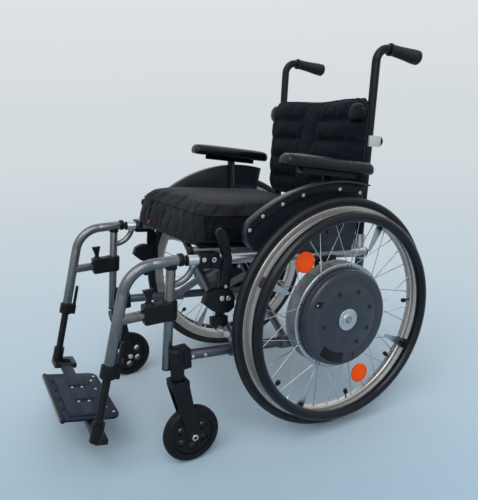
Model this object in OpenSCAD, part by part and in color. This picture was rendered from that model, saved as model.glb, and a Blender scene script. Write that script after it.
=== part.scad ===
// A folding wheelchair fitted with two power-assist drive wheels.
// Front faces -Y, the user's left is +X, the floor is z = 0.
// Lengths along Y are measured from the drive wheels' axle and then shifted by axle_y.

/* [Drive wheels] */
// Diameter over the tyre
wheel_d = 600; // [560:1:620]
// Distance between the mid-planes of the two tyres
wheel_track = 590; // [586:1:620]
// Width of the tyre
tyre_w = 22; // [20:1:25]
// Diameter of the rim where the tyre sits
rim_d = 556; // [548:1:560]
// Radial depth of the rim
rim_depth = 29; // [24:1:32]
// Width of the rim at the tyre
rim_w = 22; // [19:1:24]
// Width of the rim at its inner edge
rim_nose_w = 16; // [12:1:18]
// Diameter of a spoke
spoke_d = 2.2; // [1.8:0.1:3]
// Pairs of spokes on each side of the drum
spoke_pairs = 9; // [6:1:9]
// Turn of the spoke pattern about the axle
spoke_turn = 8; // [0:1:20]
// Diameter of a spoke reflector
reflector_d = 52; // [40:1:60]
// Thickness of a spoke reflector
reflector_t = 8; // [5:1:10]
// Distance of a reflector from the axle
reflector_r = 190; // [180:1:200]

/* [Handrims] */
// Diameter over the handrim
handrim_d = 540; // [520:1:550]
// Diameter of the coated handrim tube
handrim_tube_d = 26; // [20:1:30]
// Distance from the tyre's mid-plane to the handrim's
handrim_offset = 39; // [36:1:45]
// Standoffs between the rim and the handrim
handrim_stands = 4; // [3:1:6]
// Width of a standoff along the rim
stand_w = 26; // [16:1:34]
// Depth of a standoff towards the axle
stand_h = 13; // [8:1:14]

/* [Hubs] */
// Diameter of the motor drum between its flanges
drum_d = 262; // [250:1:268]
// Diameter of the spoke flanges
flange_d = 274; // [272:1:290]
// Thickness of a spoke flange
flange_t = 4; // [3:0.5:6]
// Distance from the tyre's mid-plane to the drum's inner face
drum_back = 27; // [25:1:28]
// Distance from the tyre's mid-plane to the drum's outer face
drum_front = 14; // [12:1:18]
// Wall of the motor drum
drum_wall = 4; // [3:0.5:6]
// Diameter of the battery cover
cover_d = 248; // [240:1:256]
// Distance from the tyre's mid-plane to the cover's face
cover_face = 43; // [40:1:45]
// Wall of the battery cover
cover_wall = 3; // [2:0.5:4]
// Radius of the cover's rounded edge
cover_edge = 12; // [6:1:16]
// Diameter of the round line in the cover's face
cover_line_d = 182; // [150:1:200]
// Outer diameter of the stator
stator_d = 236; // [200:1:244]
// Teeth around the stator
stator_teeth = 18; // [12:3:24]
// Outer diameter of the wheel bearings
bearing_d = 28; // [24:1:32]
// Width of a wheel bearing
bearing_w = 11; // [8:1:12]
// Diameter of the quick-release axle
axle_d = 12.7; // [12:0.1:13]
// Diameter of the axle's outer flange
axle_flange_d = 56; // [46:1:60]
// Thickness of the axle's outer flange
axle_flange_t = 3; // [2:0.5:4]
// Length of the axle inside the tyre's mid-plane
axle_reach = 68; // [60:1:72]
// Diameter of the release button
button_d = 9; // [7:0.5:10]
// Travel of the release button
button_travel = 4; // [3:0.5:5]

/* [Casters] */
// Diameter of a caster wheel
caster_d = 140; // [125:1:150]
// Width of a caster tyre
caster_w = 30; // [26:1:32]
// Radial depth of a caster tyre
caster_tyre_h = 20; // [14:1:24]
// Distance between the two caster wheels
caster_track = 506; // [500:1:520]
// Distance from the drive axle forward to the caster axles
caster_ahead = 399; // [390:1:410]
// Distance of the caster axle behind its swivel axis
caster_trail = 24; // [15:1:35]
// Diameter of the swivel stem
stem_d = 22; // [18:0.5:23]
// Wall of the stem housing
housing_wall = 5; // [3:0.5:6]
// Height of the fork crown's top
crown_top = 217; // [212:1:220]
// Thickness of the fork crown
crown_t = 19; // [12:1:24]
// Length of the fork crown along the chair
crown_len = 42; // [36:1:50]
// Thickness of a fork leg
fork_leg_t = 5; // [4:1:7]
// Width of a fork leg at the axle
fork_leg_w = 28; // [22:1:34]
// Gap between the caster tyre and a fork leg
fork_side_gap = 2.5; // [2:0.5:4]
// Diameter of the caster axle bolt
caster_axle_d = 10; // [8:0.5:12]

/* [Side frames] */
// Distance between the two side frames' tube centres
frame_width = 462; // [456:1:468]
// Diameter of the frame tubes
tube_d = 25; // [23:0.5:26]
// Diameter of the front post
post_d = 22; // [20:0.5:23]
// Distance of the front post's top ahead of the axle
post_ahead = 412; // [406:1:418]
// Height of the top rail's line at the front post
post_top = 492; // [480:1:500]
// Angle by which the frame drops to the rear
frame_pitch = 6.5; // [4:0.1:8]
// Length of the front post below the rail line
post_len = 255; // [248:1:258]
// Distance of the lower rail below the top rail
lower_drop = 228; // [222:1:232]
// Length of the top rail behind the front post
rail_len = 560; // [552:1:566]
// Start of the top rail behind the front post
rail_start = 36; // [34:1:40]
// Start of the lower rail behind the front post
lower_start = 22; // [18:1:26]
// Distance of the rear upright behind the front post
upright_at = 545; // [535:1:550]
// Diameter of the anti-tip bar that the lower rail's rear end receives
receiver_d = 19; // [17:0.5:19.5]
// Depth of the receiver in the lower rail
receiver_depth = 70; // [55:1:80]
// Diameter of the bent gusset tube behind the front post
gusset_d = 16; // [12:1:18]
// Bend radius of the gusset tube
gusset_r = 55; // [50:1:60]
// Thickness of the axle plate
axle_plate_t = 8; // [6:1:10]
// Length of the axle plate along the chair
axle_plate_len = 116; // [110:1:130]
// Distance between the axle positions in the plate
axle_pitch = 38; // [32:1:40]

/* [Fold] */
// Distance of the seat rails from the middle of the chair
seat_rail_x = 185; // [180:1:188]
// Height of the seat rails above the top rail's line
seat_rail_w = 10; // [9:1:14]
// Diameter of the seat rails and the cross braces
brace_d = 22; // [18:0.5:23]
// Wall of the brace sleeves around the lower rails
sleeve_wall = 4.5; // [3:0.5:6]
// Length of a brace sleeve
sleeve_len = 40; // [30:1:50]
// Place of the front crossing behind the front post
brace_front = 195; // [185:1:205]
// Place of the rear crossing behind the front post
brace_rear = 340; // [330:1:345]
// Diameter of the centre bolts
brace_bolt_d = 10; // [8:0.5:12]
// Start of the seat rails behind the front post
seat_rail_start = 62; // [58:1:70]
// End of the seat rails behind the front post
seat_rail_end = 492; // [480:1:500]

/* [Hangers] */
// Bend radius of the hanger tube
hanger_bend_r = 75; // [65:1:80]
// Distance from the front post forward to the bend
hanger_run = 43; // [40:1:50]
// Angle of the hanger's leg from the vertical
leg_lean = 15.5; // [12:0.5:18]
// Length of the straight leg below the bend
leg_len = 176; // [170:1:182]
// Diameter of the swing pin in the front post
swing_pin_d = 14; // [10:0.5:15]
// Length of the swing pin inside the post
swing_pin_len = 50; // [40:1:60]
// Height of the strut to the latch
strut_z = 380; // [374:1:384]
// Length of the latch block ahead of the post
latch_len = 62; // [56:1:70]
// Height of the latch block
latch_h = 46; // [40:1:50]
// Width of the latch block
latch_w = 30; // [27:1:34]
// Wall of the latch ring around the post
latch_ring_wall = 8; // [6:0.5:10]
// Height of the latch lever above its pin
latch_lever_h = 28; // [22:1:36]
// Width of the latch lever's flared end
latch_lever_w = 24; // [20:1:28]

/* [Footrest] */
// Diameter of the sliding foot tube
foot_tube_d = 19; // [17:0.5:20]
// Length of the foot tube below the hanger's leg
foot_tube_out = 160; // [150:1:165]
// Length of the foot tube inside the leg
foot_tube_in = 50; // [45:1:60]
// Upward travel of the foot tube
foot_tube_travel = 50; // [40:1:55]
// Height of the clamp block along the leg
foot_clamp_h = 28; // [24:1:34]
// Wall of the clamp block
foot_clamp_wall = 5; // [4:0.5:7]
// Length of the clamp's quick lever
clamp_lever_len = 66; // [50:1:72]
// Width of the footplate across the chair
plate_w = 262; // [250:1:270]
// How far the footplate lies off to the left
plate_shift = 9; // [0:1:12]
// Length of the footplate along the chair
plate_len = 138; // [120:1:142]
// Thickness of the footplate
plate_t = 6; // [5:0.5:8]
// Height of the footplate's hinge line
plate_z = 110; // [107:1:114]
// Distance of the plate's hinge centre ahead of the axle
plate_ahead = 602; // [598:1:606]
// Upward tilt of the plate's front edge
plate_tilt = 13.5; // [8:0.5:15]
// Distance of the hinge pin inboard of the foot tube
plate_hinge_in = 44; // [42:1:50]
// Diameter of the hinge pin
plate_pin_d = 7; // [6:0.5:8]
// Diameter of the drain holes
plate_hole_d = 8; // [6:0.5:10]

/* [Brakes] */
// Distance of the brake clamp behind the front post
brake_at = 85; // [82:1:90]
// Length of the brake clamp along the rail
brake_clamp_len = 52; // [44:1:54]
// Wall of the brake clamp
brake_clamp_wall = 4.5; // [3.5:0.5:6]
// Thickness of the brake's side plate
brake_plate_t = 6; // [4:0.5:7]
// Thickness of the brake lever and of the shoe arm
brake_arm_t = 6; // [4:0.5:7]
// Thickness of the brake cover's outer wall
brake_cover_t = 6; // [4:0.5:7]
// Width of the brake lever at its pin
lever_w = 24; // [20:1:26]
// Width of the brake lever's grip
lever_grip_w = 20; // [16:1:24]
// Height of the lever's bend above its pin
lever_knee = 66; // [60:1:72]
// Height of the lever's tip above its pin
lever_rise = 128; // [116:1:134]
// How far the lever's tip lies ahead of its pin
lever_reach = 22; // [14:1:28]
// Diameter of the brake pins
brake_pin_d = 8; // [6:0.5:9]
// Length of the shoe arm
shoe_arm_len = 73; // [70:1:75]
// Diameter of the shoe bar
shoe_d = 14; // [12:0.5:15]

/* [Side guards and armrests] */
// Radius of the guard's upper edge
guard_r = 398; // [394:1:401]
// Distance of the upper edge's centre ahead of the axle
guard_ahead = 11; // [8:1:14]
// Distance of the upper edge's centre below the axle
guard_drop = 64; // [61:1:67]
// Radius of the guard's round front end
guard_lobe = 37; // [32:1:40]
// Thickness of the guard panel
guard_t = 4; // [3:0.5:5]
// Width of the lip along the guard's edge
guard_lip_w = 20; // [12:1:24]
// Width of the bolted strip below the lip
guard_strip_w = 24; // [18:1:28]
// Length of an armrest pad
pad_len = 266; // [240:1:275]
// Width of an armrest pad
pad_w = 54; // [46:1:54]
// Thickness of an armrest pad
pad_h = 31; // [26:1:36]
// Height of the pad's underside at the armrest post
pad_z = 662; // [655:1:670]
// Downward slope of the pads to the rear
pad_slope = 9.5; // [6:0.5:11]
// Distance between the two pads' centres
pad_track = 516; // [516:1:526]
// Width of the armrest post along the chair
arm_post_w = 20; // [16:1:22]
// Thickness of the armrest post
arm_post_t = 12; // [10:0.5:12]
// Upward travel of the armrest
arm_travel = 60; // [40:1:70]
// Distance of the armrest post ahead of the axle
arm_post_ahead = 4; // [0:1:10]

/* [Back] */
// Distance between the two back canes
cane_track = 420; // [416:1:424]
// Diameter of the back canes
cane_d = 22; // [20:0.5:23]
// Distance of a cane's foot behind the axle
cane_back = 139; // [136:1:142]
// Height of a cane's foot
cane_foot = 430; // [428:1:433]
// Recline of the canes
cane_recline = 5.2; // [4:0.1:6]
// Straight length of a cane
cane_len = 491; // [480:1:500]
// Bend radius at the push handle
handle_bend_r = 35; // [30:1:40]
// Droop of the push handles
handle_droop = 11; // [8:0.5:14]
// Length of a push grip
grip_len = 105; // [95:1:112]
// Diameter of a grip's flared end
grip_end_d = 38; // [34:1:42]
// Height of the cane clamp above the cane's foot
cane_clamp_at = 293; // [285:1:300]
// Width of the backrest
back_w = 446; // [430:1:450]
// Height of the backrest
back_h = 284; // [270:1:292]
// Distance of the backrest's lower edge above the canes' feet
back_from = 118; // [112:1:122]
// Thickness of the backrest's padded sides
back_t = 46; // [36:1:50]
// Depth of the backrest's hollow between its sides
back_hollow = 14; // [6:1:18]
// Padded ribs up each side of the backrest
back_ribs = 5; // [4:1:7]
// Depth of the channels between the ribs
back_channel = 5; // [2:0.5:7]
// Width of the plain band up the middle of the backrest
back_band_w = 110; // [80:1:140]
// How far the backrest's top corners round in
back_corner = 26; // [10:1:36]

/* [Seat] */
// Width of the seat sling
sling_w = 392; // [380:1:396]
// Thickness of the seat sling
sling_t = 3; // [2:0.5:4]
// Width of the cushion
cushion_w = 424; // [400:1:428]
// Depth of the cushion
cushion_len = 444; // [420:1:450]
// Height of the cushion at its edge
cushion_h = 78; // [60:1:84]
// Height of the cushion's crown above its edge
cushion_crown = 25; // [12:1:30]
// How far the cushion's front edge lies ahead of the seat rails
cushion_lead = 12; // [8:1:16]
// How far the seat sling's front edge lies behind the rails' ends
sling_set = 20; // [16:1:30]
// How far the cushion's sides draw in between the corners
cushion_draw = 7; // [3:0.5:12]

/* [Fits] */
// Radial running clearance of a turning joint
run_gap = 0.05; // [0.02:0.01:0.1]
// Radial clearance of a sliding or seated joint
seat_gap = 0.2; // [0.1:0.05:0.3]
// Clearance between pieces that pass each other
pass_gap = 0.4; // [0.3:0.1:0.6]
// How much thinner a tube is along its bend
bend_thin = 0.1; // [0.05:0.05:0.3]

/* [Hidden] */
$fn = 64;
hx = frame_width / 2;
wx = wheel_track / 2;
cx = caster_track / 2;
px = pad_track / 2;
kx = cane_track / 2;
wheel_r = wheel_d / 2;
caster_r = caster_d / 2;
stem_y = -caster_ahead - caster_trail;
housing_bottom = crown_top + pass_gap;
fork_in = caster_w / 2 + fork_side_gap;

// Places along the hanger: bend centre, top of the leg and its lower end
bend_y = -post_ahead - hanger_run;
bend_z = post_top - hanger_bend_r;
leg_top = [bend_y - hanger_bend_r * cos(leg_lean), bend_z + hanger_bend_r * sin(leg_lean)];
leg_dir = [-sin(leg_lean), -cos(leg_lean)];
leg_end = leg_top + leg_len * leg_dir;
leg_bore_d = foot_tube_d + 2 * seat_gap;

// Cross brace angle, centre bolt height and fold geometry
brace_rise = lower_drop + seat_rail_w;
brace_span = hx + seat_rail_x;
bolt_w = -lower_drop + brace_rise * hx / brace_span;
brace_offset = brace_d / 2 + 1.5;

// Outer face of the frame tubes, and the layers that lie outside it
tube_face = hx + tube_d / 2;
arm_socket_wall = 2.2;
arm_x = tube_face + arm_socket_wall + arm_post_t / 2 + seat_gap;
guard_x = arm_x + arm_post_t / 2 + 2 * seat_gap + arm_socket_wall;
brake_x = tube_face + brake_clamp_wall + seat_gap;
brake_arm_x = brake_x + brake_plate_t + pass_gap;
brake_shell = brake_plate_t + brake_arm_t + 2 * pass_gap + brake_cover_t;
arm_y = -arm_post_ahead;

// Push handle end, footplate front and the shift that centres the chair on its origin
cane_dir = [sin(cane_recline), cos(cane_recline)];
cane_top = [cane_back, cane_foot] + cane_len * cane_dir;
handle_dir = [cos(handle_droop), -sin(handle_droop)];
handle_start = cane_top + handle_bend_r * [cos(cane_recline) + sin(handle_droop),
    cos(handle_droop) - sin(cane_recline)];
handle_end = handle_start + grip_len * handle_dir;
chair_rear = handle_end.x + grip_end_d / 2 * sin(handle_droop);
plate_nose_d = plate_t + 6;
chair_front = plate_ahead + plate_len / 2 * cos(plate_tilt) + plate_nose_d / 2;
axle_y = (chair_front - chair_rear) / 2;

SIDES = ["left", "right"];
SIDE_PARTS = ["side_frame", "caster_housing", "caster_fork", "caster_wheel", "tyre", "rim", "spokes",
    "motor_drum", "battery_cover", "battery_pack", "motor_axle", "release_button", "handrim", "hanger",
    "hanger_latch", "latch_lever", "foot_tube", "foot_clamp", "clamp_lever", "brake_body", "brake_lever",
    "brake_shoe", "side_guard", "armrest_post", "armrest_pad", "back_cane", "push_grip"];

// Helpers

// The right side is the left side mirrored
module on_side(side) {
    translate([0, axle_y, 0]) mirror([side == "right" ? 1 : 0, 0, 0]) children();
}

// Frame coordinates: Y runs back along the top rail and Z square to it
module tilted() {
    translate([0, -post_ahead, post_top]) rotate([-frame_pitch, 0, 0]) children();
}

// Wheel coordinates: Z runs outwards along the axle from the tyre's mid-plane
module at_wheel() {
    translate([wx, 0, wheel_r]) rotate([0, 90, 0]) children();
}

// Cane coordinates: Z runs up along the left cane
module at_cane() {
    translate([kx, cane_back, cane_foot]) rotate([-cane_recline, 0, 0]) children();
}

// Plate coordinates: the hinge line of the footplate runs along Y
module at_plate() {
    translate([-hx + plate_hinge_in, -plate_ahead, plate_z]) rotate([-plate_tilt, 0, 0]) children();
}

// A flat outline in Y and Z, given a thickness along X
module side_plate(from, t) {
    translate([from, 0, 0]) rotate([90, 0, 90]) linear_extrude(t) children();
}

// A round bar from one point to another
module rod(a, b, d) {
    v = b - a;
    translate(a) rotate([0, acos(v.z / norm(v)), atan2(v.y, v.x)]) cylinder(d = d, h = norm(v));
}

// A round bar along X
module pin_x(x, t, y, z, d) {
    translate([x, y, z]) rotate([0, 90, 0]) cylinder(d = d, h = t);
}

// A round bar along Y
module pin_y(x, y, len, z, d) {
    translate([x, y, z]) rotate([-90, 0, 0]) cylinder(d = d, h = len);
}

// A bent tube in the Y-Z plane, its angles counted from +Y towards +Z
module bend(x, y, z, r, from, to, d) {
    translate([x, y, z]) rotate([90, 0, 90]) rotate([0, 0, from])
        rotate_extrude(angle = to - from) translate([r, 0]) circle(d = d);
}

// A flat bar with two round ends, from point a to point b
module link(a, b, wa, wb) {
    v = b - a;
    n = [-v.y, v.x] / norm(v);
    translate(a) circle(d = wa);
    translate(b) circle(d = wb);
    polygon([a + n * wa / 2, a - n * wa / 2, b - n * wb / 2, b + n * wb / 2]);
}

// A ring of points of a soft block: a rounded rectangle whose sides draw in
function soft_ring(w, l, shrink, draw, z, n) = [for (i = [0 : n - 1])
    let (t = 360 * (i + 0.5) / n, c = cos(t), s = sin(t), e = 0.26, waist = pow(cos(2 * t), 2))
    [(w / 2 - shrink - draw * waist) * sign(c) * pow(abs(c), e),
     (l / 2 - shrink - draw * waist) * sign(s) * pow(abs(s), e), z]];

// A soft block from rings given as [shrink, draw, height], closed by a point at each end
module soft_block(w, l, rings, n) {
    count = len(rings);
    low = [0, 0, rings[0].z];
    high = [0, 0, rings[count - 1].z];
    points = [for (r = rings) each soft_ring(w, l, r.x, r.y, r.z, n), low, high];
    floor_faces = [for (i = [0 : n - 1]) [i, (i + 1) % n, count * n]];
    roof_faces = [for (i = [0 : n - 1]) [(count - 1) * n + (i + 1) % n, (count - 1) * n + i, count * n + 1]];
    walls = [for (k = [0 : count - 2]) for (i = [0 : n - 1]) let (a = k * n + i, b = k * n + (i + 1) % n)
        each [[a, a + n, b], [b, a + n, b + n]]];
    polyhedron(points, concat(floor_faces, roof_faces, walls));
}

// Drive wheel

module tyre() {
    tread_r = wheel_r - tyre_w / 2;
    bead_r = rim_d / 2 + seat_gap;
    color("#26272a") at_wheel() rotate_extrude($fn = 128) difference() {
        union() {
            translate([tread_r, 0]) circle(d = tyre_w);
            translate([bead_r - 3, -rim_w / 2 + 1]) square([tread_r - bead_r + 3, rim_w - 2]);
        }
        translate([0, -tyre_w]) square([bead_r, 2 * tyre_w]);
    }
}

module rim() {
    r = rim_d / 2;
    nose = r - rim_depth;
    color("#b9bcc0") at_wheel() rotate_extrude($fn = 128)
        polygon([[nose, -rim_nose_w / 2], [nose, rim_nose_w / 2], [nose + 7, rim_w / 2], [r, rim_w / 2],
            [r, -rim_w / 2], [nose + 7, -rim_w / 2]]);
}

// Spokes leave each flange in pairs and reach the rim evenly spread, with two reflectors in front of them
module spokes() {
    from_r = flange_d / 2 + 2 * pass_gap;
    to_r = rim_d / 2 - rim_depth - pass_gap;
    pair_step = 360 / spoke_pairs;
    flange_z = [drum_front - flange_t / 2, -drum_back + flange_t / 2];
    rim_z = rim_nose_w / 2 - 5;
    front_z = flange_z[0] + (rim_z - flange_z[0]) * (reflector_r - 0.45 * reflector_d - from_r)
        / (to_r - from_r);
    at_wheel() {
        color("#c8cacc") for (face = [0, 1]) for (k = [0 : spoke_pairs - 1]) for (way = [-1, 1]) {
            a = spoke_turn + pair_step * (k + face / 2);
            hub_a = a + way * 3;
            rim_a = a + way * pair_step * 3 / 8;
            rod([from_r * cos(hub_a), from_r * sin(hub_a), flange_z[face]],
                [to_r * cos(rim_a), to_r * sin(rim_a), rim_z * (1 - 2 * face)], spoke_d);
        }
        color("#e8701c") for (a = [124, -69])
            rotate([0, 0, a + 90]) translate([reflector_r, 0, front_z + spoke_d / 2 + seat_gap])
                cylinder(d = reflector_d, h = reflector_t);
    }
}

// Motor drum: an open cup with two spoke flanges and a bearing seat in its back wall
module motor_drum() {
    r = drum_d / 2;
    bore = bearing_d / 2 + run_gap;
    back = -drum_back;
    color("#9ea2a6") at_wheel() rotate_extrude($fn = 128)
        polygon([[bore, back], [flange_d / 2, back], [flange_d / 2, back + flange_t], [r, back + flange_t],
            [r, drum_front - flange_t], [flange_d / 2, drum_front - flange_t], [flange_d / 2, drum_front],
            [r - drum_wall, drum_front], [r - drum_wall, back + drum_wall], [bore + 5, back + drum_wall],
            [bore + 5, back + bearing_w], [bore, back + bearing_w]]);
}

// Battery cover: a domed cap with a round line in its face and a bearing seat in the middle
module battery_cover() {
    r = cover_d / 2;
    e = cover_edge;
    t = cover_wall;
    bore = bearing_d / 2 + run_gap;
    start = drum_front + seat_gap;
    line_r = cover_line_d / 2;
    outer = [for (a = [0 : 15 : 90]) [r - e + e * cos(a), cover_face - e + e * sin(a)]];
    inner = [for (a = [90 : -15 : 0]) [r - e + (e - t) * cos(a), cover_face - e + (e - t) * sin(a)]];
    color("#3a3c40") at_wheel() difference() {
        rotate_extrude($fn = 128) polygon(concat([[r, start]], outer,
            [[line_r + 2, cover_face], [line_r, cover_face - 1], [line_r - 2, cover_face], [bore, cover_face],
             [bore, cover_face - bearing_w], [bore + 5, cover_face - bearing_w], [bore + 5, cover_face - t]],
            inner, [[r - t, start]]));
        // Latch recess at the bottom of the face
        translate([line_r + 12, 0, cover_face - 1.2]) cube([22, 44, 3], center = true);
    }
}

// Battery pack: a ring of cells under the cover, held in a tray that sits on the drum's rim
module battery_pack() {
    outer = drum_d / 2 - drum_wall - seat_gap;
    inner = bearing_d / 2 + 12;
    tray_t = 3;
    base = drum_front - tray_t;
    top = cover_face - cover_wall - seat_gap;
    cell_d = top - drum_front;
    cell_r = cover_d / 2 - cover_edge - 1;
    mid = (cell_r + inner) / 2;
    color("#3f6fb0") at_wheel() difference() {
        union() {
            translate([0, 0, base]) cylinder(r = outer, h = tray_t);
            translate([0, 0, drum_front]) cylinder(r = cell_r, h = cell_d);
        }
        translate([0, 0, base - 1]) cylinder(r = inner, h = cell_d + 6);
        for (a = [0 : 36 : 324]) rotate([0, 0, a]) translate([mid, 0, drum_front + cell_d / 2 + 2])
            cube([outer, 3, cell_d], center = true);
    }
}

// Quick-release axle with the stator and the two bearings that the wheel turns on
module motor_axle() {
    bore = axle_d / 2 + seat_gap;
    back = -drum_back;
    flange_z = cover_face + pass_gap;
    head_z = flange_z + axle_flange_t;
    hub_from = back + bearing_w + pass_gap;
    hub_to = cover_face - bearing_w - pass_gap;
    stator_from = back + drum_wall + 4;
    stator_to = drum_front - 5;
    at_wheel() {
        color("#c9cbcd") difference() {
            union() {
                translate([0, 0, -axle_reach]) cylinder(d = axle_d, h = axle_reach + flange_z);
                translate([0, 0, flange_z]) cylinder(d = axle_flange_d, h = axle_flange_t);
                translate([0, 0, head_z]) cylinder(d = axle_flange_d * 0.6, h = 2, $fn = 6);
            }
            translate([0, 0, head_z - button_travel - 5])
                cylinder(d = button_d + 2 * run_gap, h = button_travel + 10);
        }
        color("#7d8085") for (z = [back, cover_face - bearing_w]) translate([0, 0, z])
            difference() {
                cylinder(d = bearing_d, h = bearing_w);
                translate([0, 0, -1]) cylinder(r = bore, h = bearing_w + 2);
            }
        color("#b3672f") difference() {
            union() {
                translate([0, 0, hub_from]) cylinder(d = bearing_d, h = hub_to - hub_from);
                translate([0, 0, stator_from]) cylinder(d = stator_d, h = stator_to - stator_from);
            }
            translate([0, 0, back]) cylinder(r = bore, h = cover_face - back);
            translate([0, 0, stator_from - 1])
                cylinder(r = bearing_d / 2 + 8, h = hub_from - stator_from + 1 + pass_gap);
            for (a = [0 : 360 / stator_teeth : 359]) rotate([0, 0, a])
                translate([stator_d / 2 - 22, -5, stator_from - 1])
                    cube([40, 10, stator_to - stator_from + 2]);
        }
    }
}

module release_button() {
    head_z = cover_face + pass_gap + axle_flange_t;
    color("#2b2d30") at_wheel() translate([0, 0, head_z - 4]) cylinder(d = button_d, h = button_travel + 5);
}

// Coated handrim with standoffs that reach to the rim's side
module handrim() {
    mid_r = (handrim_d - handrim_tube_d) / 2;
    stand_from = rim_w / 2 + pass_gap;
    color("#20242c") at_wheel() {
        translate([0, 0, handrim_offset]) rotate_extrude($fn = 128)
            translate([mid_r, 0]) circle(d = handrim_tube_d);
        for (k = [0 : handrim_stands - 1]) rotate([0, 0, 60 + k * 360 / handrim_stands])
            translate([mid_r - stand_h / 2, -stand_w / 2, stand_from])
                cube([stand_h, stand_w, handrim_offset - stand_from]);
    }
}

// Casters

// Housing for the swivel stem, with a block that grips the front post and the lower rail
module caster_housing() {
    outer_d = stem_d + 2 * (run_gap + housing_wall);
    block_low = housing_bottom + 17;
    block_top = block_low + 50;
    cap_r = outer_d / 2 + 1;
    color("#232427") difference() {
        union() {
            translate([cx, stem_y, housing_bottom]) cylinder(d = outer_d, h = block_top - housing_bottom);
            translate([cx, stem_y, block_top]) rotate_extrude()
                polygon([[0, 0], [cap_r, 0], [cap_r, 4], [cap_r * 0.8, 9], [cap_r * 0.4, 12], [0, 13]]);
            translate([hx - tube_d / 2 - 5, stem_y - 8, block_low])
                cube([cx - hx + tube_d / 2 + 5, 46, block_top - block_low]);
        }
        translate([cx, stem_y, housing_bottom - 1])
            cylinder(d = stem_d + 2 * run_gap, h = block_top - housing_bottom);
        tilted() {
            translate([hx, 0, -post_len - 20]) cylinder(d = post_d + 2 * seat_gap, h = post_len);
            pin_y(hx, lower_start - seat_gap, 120, -lower_drop, tube_d + 2 * seat_gap);
        }
    }
}

// Fork: crown, two legs that lean back to the axle, the stem and the axle bolt
module caster_fork() {
    crown_low = crown_top - crown_t;
    front = stem_y - crown_len / 2;
    stem_len = 64;
    outer = fork_in + fork_leg_t;
    color("#2a2b2e") {
        translate([cx - outer, front, crown_low]) cube([2 * outer, crown_len, crown_t]);
        translate([cx, stem_y, crown_top]) cylinder(d = stem_d, h = stem_len);
        for (x = [cx - outer, cx + fork_in]) side_plate(x, fork_leg_t) {
            translate([-caster_ahead, caster_r]) circle(d = fork_leg_w);
            polygon([[front, crown_low + 2], [front + crown_len, crown_low + 2],
                [-caster_ahead + fork_leg_w / 2, caster_r], [-caster_ahead - fork_leg_w / 2, caster_r]]);
        }
        pin_x(cx - outer - 4, 2 * outer + 8, -caster_ahead, caster_r, caster_axle_d);
    }
}

module caster_wheel() {
    core_r = caster_r - caster_tyre_h;
    core_w = caster_w - 6;
    bore = caster_axle_d / 2 + run_gap;
    round_r = min(caster_w / 2 - 2, caster_tyre_h - 4);
    hole_r = core_r * 0.2;
    translate([cx, -caster_ahead, caster_r]) rotate([0, 90, 0]) {
        color("#2b2c2e") rotate_extrude() difference() {
            union() {
                translate([core_r, -caster_w / 2]) square([caster_tyre_h - round_r, caster_w]);
                translate([caster_r - round_r, -caster_w / 2 + round_r])
                    square([round_r, caster_w - 2 * round_r]);
                for (z = [-1, 1]) translate([caster_r - round_r, z * (caster_w / 2 - round_r)])
                    circle(r = round_r);
            }
            translate([0, -caster_w]) square([core_r + seat_gap, 2 * caster_w]);
        }
        color("#3b3c3f") difference() {
            union() {
                translate([0, 0, -core_w / 2]) cylinder(r = core_r, h = core_w);
                translate([0, 0, -fork_in + pass_gap])
                    cylinder(r = core_r * 0.3, h = 2 * (fork_in - pass_gap));
            }
            translate([0, 0, -fork_in]) cylinder(r = bore, h = 2 * fork_in);
            for (a = [0 : 60 : 300]) rotate([0, 0, a]) translate([core_r * 0.64, 0, -core_w])
                cylinder(r = hole_r, h = 2 * core_w);
        }
    }
}

// Side frame

// Welded tubes with seat rail cradles, armrest socket and cane socket, and the bolted axle plate
module side_frame() {
    cradle_top = seat_rail_w - 2;
    color("#aeb1b4") {
        difference() {
            union() {
                tilted() {
                    pin_y(hx, rail_start, rail_len - rail_start, 0, tube_d);
                    translate([hx, 0, -post_len]) cylinder(d = post_d, h = post_len - tube_d / 2 - 6);
                    bend(hx, 0, 0, gusset_r, 270, 360, gusset_d);
                    translate([hx, upright_at, -lower_drop]) cylinder(d = tube_d - 1, h = lower_drop);
                    pin_y(hx, lower_start, upright_at + 20 - lower_start, -lower_drop, tube_d);
                    for (u = [brace_front - 60, brace_rear + 100]) translate([seat_rail_x - 14, u - 12, -10])
                        cube([hx - seat_rail_x + 4, 24, cradle_top + 10]);
                }
                arm_socket();
                at_cane() translate([0, 0, -6]) cylinder(d = cane_d + 10, h = 52);
            }
            tilted() {
                translate([hx, 0, -tube_d / 2 - 6 - swing_pin_len])
                    cylinder(d = swing_pin_d + 2 * run_gap, h = swing_pin_len + 1);
                pin_y(seat_rail_x, 0, rail_len, seat_rail_w, brace_d + 2 * seat_gap);
                pin_y(hx, upright_at + 20 - receiver_depth, receiver_depth + 1, -lower_drop,
                    receiver_d + 2 * run_gap);
            }
            at_cane() cylinder(d = cane_d + 2 * seat_gap, h = 60);
            arm_channel();
        }
        axle_plate();
    }
}

// Height of the top rail's line at a place along the chair
function rail_z(y) = post_top - (y + post_ahead) * tan(frame_pitch);

module arm_socket() {
    foot = rail_z(arm_y);
    outer = arm_post_t + 2 * (arm_socket_wall + seat_gap);
    wide = arm_post_w + 12;
    translate([hx, arm_y - wide / 2, foot + 4]) cube([arm_x - hx, wide, tube_d / 2 + 4]);
    translate([arm_x - outer / 2, arm_y - wide / 2, foot + 4]) cube([outer, wide, arm_travel + 50]);
}

module arm_channel() {
    translate([arm_x - arm_post_t / 2 - seat_gap, arm_y - arm_post_w / 2 - seat_gap, rail_z(arm_y) + 20])
        cube([arm_post_t + 2 * seat_gap, arm_post_w + 2 * seat_gap, 300]);
}

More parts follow.
